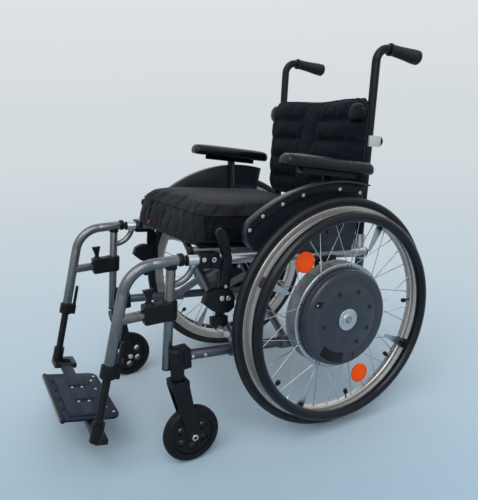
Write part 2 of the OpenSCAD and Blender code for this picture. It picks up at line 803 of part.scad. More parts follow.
// Axle plate on the outer side of the rails, with receivers for other axle positions
module axle_plate() {
    x = tube_face + seat_gap;
    half = axle_plate_len / 2;
    low = rail_z(0) - lower_drop;
    difference() {
        union() {
            side_plate(x, axle_plate_t)
                polygon([[-half, low - 8], [half, low - 8], [half, low + 50], [30, rail_z(0) - 4],
                    [-30, rail_z(0) - 4], [-half, low + 50]]);
            for (k = [-1 : 1]) pin_x(x - 10, axle_plate_t + 14, k * axle_pitch, wheel_r, axle_d + 12);
        }
        for (k = [-1 : 1]) pin_x(x - 11, axle_plate_t + 16, k * axle_pitch, wheel_r, axle_d + 2 * run_gap);
    }
}

// Cross braces, each with sleeves on one lower rail and the seat rail of the other side

module brace(shift) {
    low = -lower_drop;
    sleeve_d = tube_d + 2 * (run_gap + sleeve_wall);
    places = [brace_front + shift, brace_rear + shift];
    color("#8f9296") tilted() difference() {
        union() {
            pin_y(-seat_rail_x, seat_rail_start, seat_rail_end - seat_rail_start, seat_rail_w, brace_d);
            for (u = places) {
                rod([hx, u, low], [-seat_rail_x, u, seat_rail_w], brace_d - 1);
                pin_y(hx, u - sleeve_len / 2, sleeve_len, low, sleeve_d);
            }
            children();
        }
        for (u = places) pin_y(hx, u - sleeve_len, 2 * sleeve_len, low, tube_d + 2 * run_gap);
    }
}

// Brace on the left lower rail, which carries the centre bolts
module cross_brace_left() {
    brace(-brace_offset) for (u = [brace_front, brace_rear]) {
        pin_y(0, u - brace_offset, 2 * brace_offset + brace_d / 2 + 3, bolt_w, brace_bolt_d);
        pin_y(0, u + brace_offset + brace_d / 2 + 2, 4, bolt_w, brace_bolt_d + 8);
    }
}

// Brace on the right lower rail, bored for the centre bolts
module cross_brace_right() {
    difference() {
        mirror([1, 0, 0]) brace(brace_offset);
        color("#8f9296") tilted() for (u = [brace_front, brace_rear])
            pin_y(0, u - 20, 60, bolt_w, brace_bolt_d + 2 * run_gap);
    }
}

// Hanger

// Bent tube with its swing pin, the strut to the latch and a bore for the foot tube
module hanger() {
    top_rear = -post_ahead + rail_start - 7;
    strut_y = leg_top.x + (strut_z - leg_top.y) * tan(leg_lean);
    latch_y = post_y_at(strut_z) - latch_len + 4;
    color("#a4a5a6") difference() {
        union() {
            pin_y(hx, bend_y, top_rear - bend_y, post_top, tube_d);
            bend(hx, bend_y, bend_z, hanger_bend_r, 90, 180 - leg_lean, tube_d - bend_thin);
            rod([hx, leg_top.x, leg_top.y], [hx, leg_end.x, leg_end.y], tube_d);
            pin_y(hx, strut_y, latch_y - strut_y, strut_z, tube_d - 2);
            tilted() translate([hx, 0, -tube_d / 2 - 6 - swing_pin_len + pass_gap])
                cylinder(d = swing_pin_d, h = swing_pin_len + 14);
            tilted() translate([hx, 0, -tube_d / 2 - 6 + pass_gap]) cylinder(d = post_d, h = 14);
        }
        hanger_bore();
    }
}

// Place of the front post's axis at a height
function post_y_at(z) = -post_ahead - (post_top - z) * tan(frame_pitch);

module hanger_bore() {
    depth = foot_tube_in + foot_tube_travel + 6;
    from = leg_end - depth * leg_dir;
    to = leg_end + 2 * leg_dir;
    rod([hx, from.x, from.y], [hx, to.x, to.y], leg_bore_d);
}

// Latch block on the strut, with a ring around the front post and ears for the lever
module hanger_latch() {
    post_y = post_y_at(strut_z);
    front = post_y - latch_len;
    ear_y = front + 16;
    top = strut_z + latch_h / 2;
    color("#1f2022") difference() {
        union() {
            translate([hx - latch_w / 2, front, strut_z - latch_h / 2]) cube([latch_w, latch_len, latch_h]);
            tilted() translate([hx, 0, -(post_top - strut_z) / cos(frame_pitch) - latch_h / 2])
                cylinder(d = post_d + 2 * latch_ring_wall, h = latch_h);
            for (side = [-1, 1]) side_plate(hx - 2 + side * 8, 4)
                link([ear_y, top - 6], [ear_y, top + 6], 14, 12);
        }
        tilted() translate([hx, 0, -post_len]) cylinder(d = post_d + 2 * pass_gap, h = post_len);
        pin_y(hx, front - 1, 5 + 2 * seat_gap, strut_z, tube_d - 2 + 2 * seat_gap);
        pin_x(hx - 20, 40, ear_y, top + 6, 5 + 2 * run_gap);
    }
}

// Flared lever that releases the latch, on its own pin between the ears
module latch_lever() {
    pin_y_at = post_y_at(strut_z) - latch_len + 16;
    pin_z = strut_z + latch_h / 2 + 6;
    half = latch_lever_w / 2;
    color("#1b1c1e") {
        side_plate(hx - 6 + pass_gap, 12 - 2 * pass_gap) {
            translate([pin_y_at, pin_z]) circle(d = 11);
            polygon([[pin_y_at - 4, pin_z], [pin_y_at + 4, pin_z], [pin_y_at + half, pin_z + latch_lever_h],
                [pin_y_at - half, pin_z + latch_lever_h]]);
        }
        pin_x(hx - 10, 20, pin_y_at, pin_z, 5);
    }
}

// Footrest

function leg_point(s) = [hx, leg_end.x + s * leg_dir.x, leg_end.y + s * leg_dir.y];

// Frame of the leg: Z runs down along the leg from its lower end
module at_leg_end() {
    translate([hx, leg_end.x, leg_end.y]) rotate([180 - leg_lean, 0, 0]) children();
}

// Clamp block round the leg's end, with ears for the quick lever
module foot_clamp() {
    outer_d = tube_d + 2 * (seat_gap + foot_clamp_wall);
    grip = foot_clamp_h / 2;
    ear_out = outer_d / 2 + 8;
    color("#1f2022") at_leg_end() difference() {
        union() {
            translate([0, 0, -grip]) cylinder(d = outer_d, h = foot_clamp_h);
            translate([-10, -ear_out, -grip]) cube([20, ear_out, foot_clamp_h]);
        }
        translate([0, 0, -grip - 1]) cylinder(d = tube_d + 2 * seat_gap, h = grip + 1 + seat_gap);
        translate([0, 0, -grip]) cylinder(d = leg_bore_d, h = 2 * foot_clamp_h);
        translate([-5, -ear_out - 1, -grip - 1]) cube([10, ear_out - tube_d / 2 - 3, foot_clamp_h + 2]);
        pin_x(-20, 40, -ear_out + 5, 0, 5 + 2 * run_gap);
    }
}

// Quick lever of the clamp, lying up along the leg
module clamp_lever() {
    pin_at = -(tube_d / 2 + seat_gap + foot_clamp_wall + 3);
    color("#141516") at_leg_end() {
        pin_x(-10, 20, pin_at, 0, 5);
        side_plate(-5 + pass_gap, 10 - 2 * pass_gap) link([pin_at, 0], [pin_at, -clamp_lever_len], 8, 7);
    }
}

// Sliding foot tube; the left one ends in a rest for the footplate, the right one in its hinge
module foot_tube(side) {
    top = leg_point(-foot_tube_in);
    end = leg_point(foot_tube_out);
    color("#222326") {
        rod(top, end, foot_tube_d);
        at_leg_end() translate([0, 0, foot_tube_out - 40]) cylinder(d = foot_tube_d + 10, h = 44);
        if (side == "left") foot_rest_arm();
        else mirror([1, 0, 0]) foot_hinge();
    }
}

// Arm under the plate's free edge
module foot_rest_arm() {
    reach = 2 * hx - plate_hinge_in - plate_edge() + 14;
    at_plate() translate([plate_edge() - 14, -14, -plate_t / 2 - pass_gap - 12]) cube([reach, 28, 12]);
}

// Distance from the hinge pin to the plate's free edge
function plate_edge() = hx - plate_hinge_in + plate_w / 2 + plate_shift;

// Two knuckles with the hinge pin on the right foot tube
module foot_hinge() {
    knuckle_d = plate_pin_d + 8;
    at_plate() {
        for (y = [-30, 16]) {
            pin_y(0, y, 14, 0, knuckle_d);
            translate([-plate_hinge_in, y, -knuckle_d / 2]) cube([plate_hinge_in, 14, knuckle_d]);
        }
        translate([-plate_hinge_in - 6, -30, -knuckle_d / 2]) cube([18, 60, knuckle_d]);
        pin_y(0, -30, 60, 0, plate_pin_d);
    }
}

// One-piece footplate with a hinge leaf, a rounded nose, raised treads and drain holes
module footplate() {
    leaf_half = 16 - pass_gap;
    from = plate_edge() - plate_w;
    half = plate_len / 2;
    corner = 22;
    tread_w = (plate_w - 60) / 3;
    color("#2c2e30") at_plate() difference() {
        union() {
            translate([0, 0, -plate_t / 2]) linear_extrude(plate_t) {
                translate([from, -half]) square([plate_w, plate_len - corner]);
                translate([from + corner, -half]) square([plate_w - 2 * corner, plate_len]);
                for (x = [from + corner, from + plate_w - corner])
                    translate([x, half - corner]) circle(r = corner);
                translate([0, -leaf_half]) square([from + 1, 2 * leaf_half]);
            }
            pin_y(0, -leaf_half, 2 * leaf_half, 0, plate_pin_d + 7);
            translate([from, -half, 0]) rotate([0, 90, 0]) cylinder(d = plate_nose_d, h = plate_w);
            for (k = [0 : 2]) translate([from + 15 + k * (tread_w + 15), -half + 16, 0])
                cube([tread_w, plate_len - 62, plate_t / 2 + 2]);
        }
        pin_y(0, -half, plate_len, 0, plate_pin_d + 2 * run_gap);
        for (x = [0.2, 0.4, 0.6, 0.8]) for (y = [-half + 11, half - 24])
            translate([from + x * plate_w, y, -10]) cylinder(d = plate_hole_d, h = 20);
    }
}

// Brake

lever_pin = [brake_at + 39, -58];
shoe_pin = [brake_at + 28, -84];

// Outline of a flat bar that bends once at b, with chamfered ends
function bent_bar(a, b, c, ha, hc) = let (p = (b - a) / norm(b - a), q = (c - b) / norm(c - b),
    m = (p + q) / norm(p + q), np = [-p.y, p.x], nq = [-q.y, q.x],
    nb = [-m.y, m.x] * (ha + hc) / 2 / (m * p))
    [a + np * ha, b + nb, c + nq * hc, c + (q * 0.7 + nq * 0.4) * hc, c + (q * 0.7 - nq * 0.4) * hc,
        c - nq * hc, b - nb, a - np * ha, a - (p * 0.7 + np * 0.4) * ha, a - (p * 0.7 - np * 0.4) * ha];

// Clamp on the top rail, the strap below it and the cover that is open behind for the shoe arm
module brake_body() {
    outer = tube_d / 2 + seat_gap + brake_clamp_wall;
    clamp_from = max(brake_at - brake_clamp_len / 2, gusset_r + gusset_d / 2 + pass_gap);
    clamp_to = brake_at + brake_clamp_len / 2;
    color("#1d1e20") tilted() difference() {
        union() {
            translate([hx - outer, clamp_from, -outer])
                cube([2 * outer, clamp_to - clamp_from, 2 * outer]);
            side_plate(brake_x, brake_plate_t) translate([brake_at, 0]) polygon([[4, 8], [25, 8], [54, -30],
                [55, -74], [27, -74], [25, -20], [4, -14]]);
            side_plate(brake_x, brake_shell) translate([brake_at, 0])
                polygon([[-16, -95], [-10, -74], [4, -66], [19, -63], [53, -67],
                    [62, -82], [63, -109], [49, -120], [28, -121], [5, -112]]);
        }
        translate([brake_x + brake_plate_t, brake_at + 4, -140])
            cube([brake_arm_t + 2 * pass_gap, 100, 100]);
        pin_y(hx, 0, 200, 0, tube_d + 2 * seat_gap);
        for (p = [lever_pin, shoe_pin])
            pin_x(brake_x - 1, brake_shell + 2, p.x, p.y, brake_pin_d + 2 * run_gap);
    }
}

// Hand lever with its pin, bent forward above the rail, and its thick grip
module brake_lever() {
    knee = lever_pin + [2, lever_knee];
    tip = lever_pin + [-lever_reach, lever_rise];
    grip_from = knee + (tip - knee) * 0.25;
    mid = knee + (tip - knee) * 0.55;
    grip_half = lever_grip_w / 2 + 1;
    color("#161718") tilted() {
        side_plate(brake_arm_x, brake_arm_t)
            polygon(bent_bar(lever_pin, knee, tip, lever_w / 2, lever_grip_w / 2));
        side_plate(brake_arm_x, brake_arm_t + 6) polygon(bent_bar(grip_from, mid, tip, grip_half, grip_half));
        pin_x(brake_x, brake_plate_t + pass_gap + brake_arm_t + 2, lever_pin.x, lever_pin.y, brake_pin_d);
    }
}

// Shoe arm with its carrier block and the bar that presses on the tyre
module brake_shoe() {
    tip = [shoe_pin.x - 1, shoe_pin.y - shoe_arm_len];
    color("#2a2b2d") tilted() {
        side_plate(brake_arm_x, brake_arm_t) link(shoe_pin, tip, 17, 16);
        side_plate(brake_arm_x, brake_arm_t + 6) translate(tip)
            polygon([[-22, 28], [21, 28], [21, 8], [12, 2], [-14, 2], [-20, 10]]);
        pin_x(brake_x, brake_shell, shoe_pin.x, shoe_pin.y, brake_pin_d);
        pin_x(brake_arm_x, wx + tyre_w / 2 - brake_arm_x, tip.x, tip.y, shoe_d);
    }
}

// Side guard and armrest

// The guard's edge, grown or shrunk: an arc from the rear that ends in a round lobe at the front
guard_from = 72;
guard_to = 123.5;
guard_mid = [-guard_ahead, wheel_r - guard_drop];
lobe_at = guard_mid + (guard_r - guard_lobe) * [cos(guard_to), sin(guard_to)];

function guard_edge(grow, last) = concat(
    [for (k = [0 : 18]) let (a = guard_from + (guard_to - guard_from) * k / 18)
        guard_mid + (guard_r + grow) * [cos(a), sin(a)]],
    [for (k = [1 : 12]) let (a = guard_to + (last - guard_to) * k / 12)
        lobe_at + (guard_lobe + grow) * [cos(a), sin(a)]]);

// A band along the guard's edge between two offsets from it
module guard_band(outer, inner, last) {
    back_way = guard_edge(inner, last);
    count = len(back_way);
    polygon(concat(guard_edge(outer, last), [for (k = [1 : count]) back_way[count - k]]));
}

// Flat panel above the top rail with a lip along its curved edge and a bolted strip inside the lip
module side_guard() {
    x = guard_x + seat_gap;
    lip_t = 4;
    low_front = lobe_at.x + 60;
    low_rear = guard_mid.x + 80;
    rail_top = tube_d / 2 + 1;
    color("#3c3f43") {
        side_plate(x, guard_t) polygon(concat(guard_edge(lip_t / 2, 270),
            [[low_front, rail_z(low_front) + rail_top], [low_rear, rail_z(low_rear) + rail_top]]));
        side_plate(x + 1, guard_lip_w) guard_band(lip_t, 0, 270);
    }
    color("#17181a") side_plate(x + guard_t + seat_gap, 3) guard_band(-2, -2 - guard_strip_w, 195);
}

// Post that slides in the frame's socket, with the bearer under the pad
module armrest_post() {
    foot = rail_z(arm_y) + 22;
    bearer_len = pad_len * 0.62;
    bearer_from = arm_x - arm_post_t / 2;
    bearer_w = max(arm_x + arm_post_t / 2, px) + 12 - bearer_from;
    color("#1c1d1f") {
        translate([arm_x - arm_post_t / 2, arm_y - arm_post_w / 2, foot])
            cube([arm_post_t, arm_post_w, pad_z - 8 - foot]);
        translate([px, arm_y, pad_z]) rotate([-pad_slope, 0, 0])
            translate([bearer_from - px, -bearer_len / 2, -12 - seat_gap]) cube([bearer_w, bearer_len, 12]);
    }
}

// Soft pad with a crowned top and round ends
module armrest_pad() {
    rings = [[5, 0, 0], [1, 0, 4], [0, 0, pad_h * 0.45], [3, 0, pad_h * 0.78],
        [9, 0, pad_h * 0.95], [18, 0, pad_h]];
    color("#1a1b1d") translate([px, arm_y, pad_z]) rotate([-pad_slope, 0, 0])
        soft_block(pad_w, pad_len, rings, 36);
}

// Back

// Cane with its bend and handle core, and the clamp block with a hand knob behind it
module back_cane() {
    core_d = cane_d - 3;
    core_from = handle_start - 5 * handle_dir;
    core_to = handle_start + (grip_len - 6) * handle_dir;
    color("#1b1c1e") {
        at_cane() translate([0, 0, seat_gap]) cylinder(d = cane_d, h = cane_len - seat_gap);
        bend(kx, cane_top.x + handle_bend_r * cos(cane_recline),
            cane_top.y - handle_bend_r * sin(cane_recline),
            handle_bend_r, 90 - handle_droop, 180 - cane_recline, cane_d - bend_thin);
        rod([kx, core_from.x, core_from.y], [kx, core_to.x, core_to.y], core_d);
    }
    color("#c9cac6") at_cane() difference() {
        translate([-15, -9, cane_clamp_at - 14]) cube([30, 38, 28]);
        translate([0, 0, cane_clamp_at - 15]) cylinder(d = cane_d + 2 * seat_gap, h = 30);
    }
    color("#18191b") at_cane() translate([0, 29 + seat_gap, cane_clamp_at])
        rotate([-90, 0, 0]) rotate_extrude()
        polygon([[0, 0], [9, 0], [13, 3], [13, 9], [9, 13], [0, 14]]);
}

// Flared rubber grip, closed at its end
module push_grip() {
    bore = (cane_d - 3) / 2 + seat_gap;
    end_r = grip_end_d / 2;
    collar_r = cane_d / 2 + 4.5;
    from = 1;
    core_end = grip_len - 6 + seat_gap;
    color("#131415") translate([kx, handle_start.x, handle_start.y]) rotate([-90 - handle_droop, 0, 0])
        rotate_extrude() polygon([[bore, from], [collar_r, from], [collar_r + 1, 4], [collar_r, 8],
            [collar_r - 2, 10], [collar_r - 1.5, grip_len * 0.45], [end_r - 1, grip_len * 0.86],
            [end_r, grip_len * 0.93], [end_r, grip_len], [0, grip_len], [0, core_end], [bore, core_end]]);
}

// Backrest: padded ribs up each side, a plain band in the middle and a hollow across
back_cols = 20;
back_rows = 28;

// Height of the padding over the sling, 0 at the edges and full inside
function edge_rise(t) = pow(1 - pow(abs(2 * t - 1), 6), 0.5);

// Depth of the channels between the ribs; the middle band has none
function rib_cut(i, j) = let (x = abs(i / back_cols - 0.5) * back_w, s = j / back_rows)
    x < back_band_w / 2 ? 0 : back_channel * pow(abs(cos(180 * s * back_ribs)), 8);

// Half width of the backrest, drawn in where its top corners round
function back_half(s) = back_w / 2 - back_corner * pow(max(0, s - 0.86) / 0.14, 2);

function back_front(i, j) = let (t = i / back_cols, s = j / back_rows, x = (2 * t - 1) * back_half(s),
    hollow = back_hollow * (1 - pow(2 * t - 1, 2)), rise = edge_rise(t) * edge_rise(s))
    [x, -cane_d / 2 - pass_gap - 6 + (hollow + rib_cut(i, j) - back_t + 6) * rise, s * back_h];

function back_rear(i, j) = let (t = i / back_cols, s = j / back_rows, x = (2 * t - 1) * back_half(s))
    [x, -cane_d / 2 - pass_gap, s * back_h];

module backrest() {
    cols = back_cols + 1;
    count = cols * (back_rows + 1);
    points = concat([for (j = [0 : back_rows]) for (i = [0 : back_cols]) back_front(i, j)],
        [for (j = [0 : back_rows]) for (i = [0 : back_cols]) back_rear(i, j)]);
    front_faces = [for (j = [0 : back_rows - 1]) for (i = [0 : back_cols - 1]) let (a = j * cols + i)
        each [[a, a + cols, a + 1], [a + 1, a + cols, a + cols + 1]]];
    rear_faces = [for (f = front_faces) [f[0] + count, f[2] + count, f[1] + count]];
    ends = [for (j = [0, back_rows]) for (i = [0 : back_cols - 1]) let (a = j * cols + i, b = a + 1)
        each j == 0 ? [[a, b, a + count], [b, b + count, a + count]]
            : [[a, a + count, b], [b, a + count, b + count]]];
    flanks = [for (i = [0, back_cols]) for (j = [0 : back_rows - 1]) let (a = j * cols + i, b = a + cols)
        each i == 0 ? [[a, a + count, b], [b, a + count, b + count]]
            : [[a, b, a + count], [b, b + count, a + count]]];
    color("#1d1e20") translate([-kx, 0, 0]) at_cane() translate([0, 0, back_from])
        polyhedron(points, concat(front_faces, rear_faces, ends, flanks));
}

// Seat

sling_z = seat_rail_w + brace_d / 2 + pass_gap;

module seat_sling() {
    color("#222325") tilted() translate([-sling_w / 2, seat_rail_start + sling_set, sling_z])
        cube([sling_w, seat_rail_end - seat_rail_start - sling_set, sling_t]);
}

module seat_cushion() {
    h = cushion_h;
    c = cushion_crown;
    d = cushion_draw;
    rings = [[12, d, 0], [3, d, 5], [0, d, h * 0.25], [2, d, h * 0.6],
        [0, d, h - 8], [3, d, h - 1], [9, d, h + 1], [28, d * 0.8, h + c * 0.35],
        [62, d * 0.6, h + c * 0.68], [110, d * 0.3, h + c * 0.9], [165, 0, h + c]];
    middle = seat_rail_start - cushion_lead + cushion_len / 2;
    color("#202124") tilted() translate([0, middle, sling_z + sling_t + seat_gap])
        soft_block(cushion_w, cushion_len, rings, 64);
}

// What is drawn

for (side = SIDES) {
    on_side(side) side_frame();
    on_side(side) caster_housing();
    on_side(side) caster_fork();
    on_side(side) caster_wheel();
    on_side(side) tyre();
    on_side(side) rim();
    on_side(side) spokes();
    on_side(side) motor_drum();
    on_side(side) battery_cover();
    on_side(side) battery_pack();
    on_side(side) motor_axle();
    on_side(side) release_button();
    on_side(side) handrim();
    on_side(side) hanger();
    on_side(side) hanger_latch();
    on_side(side) latch_lever();
    on_side(side) foot_tube(side);
    on_side(side) foot_clamp();
    on_side(side) clamp_lever();
    on_side(side) brake_body();
    on_side(side) brake_lever();
    on_side(side) brake_shoe();
    on_side(side) side_guard();
    on_side(side) armrest_post();
    on_side(side) armrest_pad();
    on_side(side) back_cane();
    on_side(side) push_grip();
}
on_side("left") cross_brace_left();
on_side("left") cross_brace_right();
on_side("left") seat_sling();
on_side("left") seat_cushion();
on_side("left") backrest();
on_side("left") footplate();
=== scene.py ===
# A folding wheelchair with two power-assist drive wheels, dressed on its CAD frame.
# Lengths in the calls below are millimetres, as in the part's source: x from the chair's middle to its
# left, y behind the drive axle and z from the floor.
import math
import bpy
import numpy as np
from mathutils import Matrix, Vector


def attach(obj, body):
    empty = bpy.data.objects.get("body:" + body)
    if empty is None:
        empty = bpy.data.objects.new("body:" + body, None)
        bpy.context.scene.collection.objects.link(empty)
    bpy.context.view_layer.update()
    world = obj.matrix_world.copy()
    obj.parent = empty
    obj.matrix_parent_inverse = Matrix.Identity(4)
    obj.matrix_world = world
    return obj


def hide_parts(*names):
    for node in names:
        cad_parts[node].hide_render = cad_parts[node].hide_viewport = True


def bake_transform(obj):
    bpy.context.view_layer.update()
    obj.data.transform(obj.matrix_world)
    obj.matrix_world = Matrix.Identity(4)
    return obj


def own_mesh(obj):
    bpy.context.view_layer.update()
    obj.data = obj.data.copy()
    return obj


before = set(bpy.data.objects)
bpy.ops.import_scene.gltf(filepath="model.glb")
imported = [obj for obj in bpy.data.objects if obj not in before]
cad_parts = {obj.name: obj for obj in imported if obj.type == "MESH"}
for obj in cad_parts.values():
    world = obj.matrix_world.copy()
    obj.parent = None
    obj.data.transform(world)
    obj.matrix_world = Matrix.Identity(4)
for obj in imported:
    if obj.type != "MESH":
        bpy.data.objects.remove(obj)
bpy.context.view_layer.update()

AXLE_Y = 171.681
WHEEL_X = 295.0
WHEEL_Z = 300.0
FRAME_X = 231.0
CANE_X = 210.0
CASTER_X = 253.0
HUB_END = 48.4
PITCH = math.radians(6.5)
RECLINE = math.radians(5.2)
LEAN = math.radians(15.5)
TILT = math.radians(13.5)
RAIL_FRONT = (-412, 492)
CANE_FOOT = (139, 430)
LEG_TOP = (-574.306, 267.444)
PLATE_MIDDLE = (-602, 110)
PLATE_HINGE_X = 44 - FRAME_X
CASTER_Y = -399
CASTER_R = 70


# Places

def at(x, y, z):
    return Vector((x / 1000, (y + AXLE_Y) / 1000, z / 1000))


def slanted(x, foot, angle, along, above):
    # A place along and above a line that falls backwards from its foot (y, z)
    y = foot[0] + along * math.cos(angle) + above * math.sin(angle)
    return at(x, y, foot[1] - along * math.sin(angle) + above * math.cos(angle))


def on_rail(x, along, above):
    return slanted(x, RAIL_FRONT, PITCH, along, above)


def on_cane(x, behind, up):
    return slanted(x, CANE_FOOT, RECLINE, behind, up)


def on_leg(x, ahead, down):
    return slanted(x, LEG_TOP, LEAN, -ahead, -down)


def on_plate(x, back, above):
    return slanted(PLATE_HINGE_X + x, PLATE_MIDDLE, TILT, back, above)


def on_wheel(angle, r, out):
    a = math.radians(angle)
    return at(WHEEL_X + out, r * math.cos(a), WHEEL_Z + r * math.sin(a))


def facing(place, way, turn=0.0):
    # A frame at a place whose Z runs along the given way
    swing = Vector(way).normalized().to_track_quat("Z", "Y").to_matrix().to_4x4()
    return Matrix.Translation(place) @ swing @ Matrix.Rotation(turn, 4, "Z")


OUT = Vector((1, 0, 0))
BACK = Vector((0, 1, 0))
UP = Vector((0, 0, 1))
RAIL_UP = on_rail(0, 0, 1000) - on_rail(0, 0, 0)
RAIL_BACK = on_rail(0, 1000, 0) - on_rail(0, 0, 0)
CANE_UP = on_cane(0, 0, 1000) - on_cane(0, 0, 0)
CANE_BACK = on_cane(0, 1000, 0) - on_cane(0, 0, 0)
PLATE_UP = on_plate(0, 0, 1000) - on_plate(0, 0, 0)
WHEEL_FACE = facing(on_wheel(0, 0, 0), OUT)


# Modelling helpers

def deselect():
    if bpy.context.mode != "OBJECT":
        bpy.ops.object.mode_set(mode="OBJECT")
    bpy.ops.object.select_all(action="DESELECT")


def hold(obj):
    deselect()
    obj.select_set(True)
    bpy.context.view_layer.objects.active = obj
    return obj


def open_mesh(obj, kind="VERT"):
    hold(obj)
    bpy.ops.object.mode_set(mode="EDIT")
    bpy.ops.mesh.select_mode(type=kind)
    bpy.ops.mesh.select_all(action="SELECT")


def close_mesh():
    bpy.ops.object.mode_set(mode="OBJECT")


def pick_faces(obj, test):
    # Leaves the mesh open with only the faces selected whose centre and normal pass the test
    bpy.ops.object.mode_set(mode="OBJECT")
    mesh = obj.data
    for group in (mesh.vertices, mesh.edges):
        group.foreach_set("select", np.zeros(len(group), bool))
    for face in mesh.polygons:
        face.select = bool(test(face.center, face.normal))
    bpy.ops.object.mode_set(mode="EDIT")
    bpy.ops.mesh.select_mode(type="FACE")


def merge_and_turn_out(obj):
    open_mesh(obj)
    bpy.ops.mesh.remove_doubles(threshold=1e-6)
    bpy.ops.mesh.select_all(action="SELECT")
    bpy.ops.mesh.normals_make_consistent(inside=False)
    close_mesh()


def smooth(obj, angle=38):
    hold(obj)
    bpy.ops.object.shade_smooth_by_angle(angle=math.radians(angle))
    return obj


def use_modifier(obj, kind, **values):
    modifier = obj.modifiers.new(kind.lower(), kind)
    for key, value in values.items():
        setattr(modifier, key, value)
    hold(obj)
    bpy.ops.object.modifier_apply(modifier=modifier.name)
    return obj


def ease_edges(obj, width, steps, angle=32):
    use_modifier(obj, "BEVEL", width=width / 1000, segments=steps, limit_method="ANGLE",
                 angle_limit=math.radians(angle), use_clamp_overlap=True)
    return smooth(obj)


def seat(obj, place):
    # Moves a piece modelled at the origin to its place and keeps the place in its mesh
    hold(obj)
    obj.matrix_world = place
    bpy.ops.object.transform_apply(location=True, rotation=True, scale=True)
    return obj


def copy_of(obj, name, place):
    twin = obj.copy()
    twin.data = obj.data.copy()
    twin.name = name
    bpy.context.scene.collection.objects.link(twin)
    twin.data.transform(place)
    return twin


def join(name, *parts):
    deselect()
    for part in parts:
        part.select_set(True)
    bpy.context.view_layer.objects.active = parts[0]
    if len(parts) > 1:
        bpy.ops.object.join()
    parts[0].name = name
    return parts[0]


def copies(obj, name, places):
    # One object made of copies of a model, which is then taken away
    parts = [copy_of(obj, name, place) for place in places]
    bpy.data.objects.remove(obj)
    return join(name, *parts)


def started(name, add_primitive, **values):
    # A new primitive, alone in the selection, to shape into a piece
    deselect()
    add_primitive(**values)
    obj = bpy.context.object
    obj.name = name
    return obj


def turned(name, profile, steps, ring=False):
    # A turned piece about Z from a profile of (radius, height); a ring's profile closes on itself
    obj = started(name, bpy.ops.mesh.primitive_plane_add, size=0.001)
    open_mesh(obj)
    bpy.ops.mesh.merge(type="CENTER")
    points = [Vector((r / 1000, 0, h / 1000)) for r, h in profile]
    if ring:
        points.append(points[0])
    bpy.ops.transform.translate(value=points[0])
    for a, b in zip(points, points[1:]):
        bpy.ops.mesh.extrude_region_move(TRANSFORM_OT_translate={"value": b - a})
    bpy.ops.mesh.select_all(action="SELECT")
    bpy.ops.mesh.spin(steps=steps, angle=2 * math.pi, center=(0, 0, 0), axis=(0, 0, 1))
    close_mesh()
    merge_and_turn_out(obj)
    return smooth(obj)


def block(name, size, ease, steps=3):
    # A block centred at the origin with eased edges
    obj = started(name, bpy.ops.mesh.primitive_cube_add, size=1)
    open_mesh(obj)
    bpy.ops.transform.resize(value=[s / 1000 for s in size], center_override=(0, 0, 0))
    bpy.ops.mesh.bevel(offset=ease / 1000, segments=steps, affect="EDGES")
    close_mesh()
    return smooth(obj)


def tube_along(name, points, d, closed=False):
    # A round cord, seam or wire through points, made a mesh
    curve = bpy.data.curves.new(name, "CURVE")
    curve.dimensions = "3D"
    curve.bevel_depth = d / 2000
    curve.bevel_resolution = 3
    curve.use_fill_caps = not closed
    spline = curve.splines.new("POLY")
    spline.points.add(len(points) - 1)
    for slot, point in zip(spline.points, points):
        slot.co = (*point, 1)
    spline.use_cyclic_u = closed
    obj = bpy.data.objects.new(name, curve)
    bpy.context.scene.collection.objects.link(obj)
    hold(obj)
    bpy.ops.object.convert(target="MESH")
    obj = bpy.context.object
    merge_and_turn_out(obj)
    return smooth(obj, 60)


def cad_copy(node, ease=0.0, steps=2, name=None):
    # A merged copy of a CAD node with eased edges, to stand for the node
    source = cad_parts[node]
    obj = source.copy()
    obj.data = source.data.copy()
    obj.name = name or node + "_finish"
    obj.parent = None
    for key in list(obj.keys()):
        del obj[key]
    obj.data.materials.clear()
    bpy.context.scene.collection.objects.link(obj)
    open_mesh(obj)
    bpy.ops.mesh.remove_doubles(threshold=2e-6)
    bpy.ops.mesh.select_all(action="SELECT")
    bpy.ops.mesh.dissolve_limited(angle_limit=math.radians(0.4))
    close_mesh()
    if ease:
        ease_edges(obj, ease, steps)
    return smooth(obj)


def remesh(obj, voxel):
    hold(obj)
    obj.data.remesh_voxel_size = voxel / 1000
    bpy.ops.object.voxel_remesh()
    return obj


def moulded(node, voxel, rounds):
    # A copy of a CAD node with its edges rounded off as on a casting
    obj = remesh(cad_copy(node), voxel)
    use_modifier(obj, "SMOOTH", factor=0.5, iterations=rounds)
    return smooth(obj, 60)


def loose_parts(obj):
    hold(obj)
    bpy.ops.mesh.separate(type="LOOSE")
    return sorted(bpy.context.selected_objects, key=lambda o: -size_of(o))


def vertex_places(obj):
    co = np.empty(len(obj.data.vertices) * 3)
    obj.data.vertices.foreach_get("co", co)
    return co.reshape(-1, 3)


def corners(obj):
    co = vertex_places(obj)
    return co.min(0), co.max(0)


def size_of(obj):
    low, high = corners(obj)
    return float(np.prod(high - low))


def dress(obj, body, finish, stands_for=None):
    # Gives a piece its finish and body; a piece that bends between two bodies has no body here
    obj.data.materials.clear()
    obj.data.materials.append(finish)
    if body:
        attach(obj, body)
    if stands_for:
        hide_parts(stands_for)
    return obj


def both_sides(obj, body, finish, stands_for=None):
    # Dresses a left piece and its mirrored right twin; names start with left_
    twin = copy_of(obj, obj.name.replace("left_", "right_"), Matrix.Scale(-1, 4, (1, 0, 0)))
    twin.data.flip_normals()
    for side, piece in (("left_", obj), ("right_", twin)):
        dress(piece, side + body, finish, stands_for and side + stands_for)
    return obj, twin


def repeated(name, model, places, body, finish):
    # Copies of a model as one left piece, and its right twin
    return both_sides(copies(model, name, places), body, finish)


def node_piece(node, body, finish, ease, steps=2):
    # A CAD node of the left side with eased edges, and its right twin
    return both_sides(cad_copy("left_" + node, ease, steps), body, finish, node)


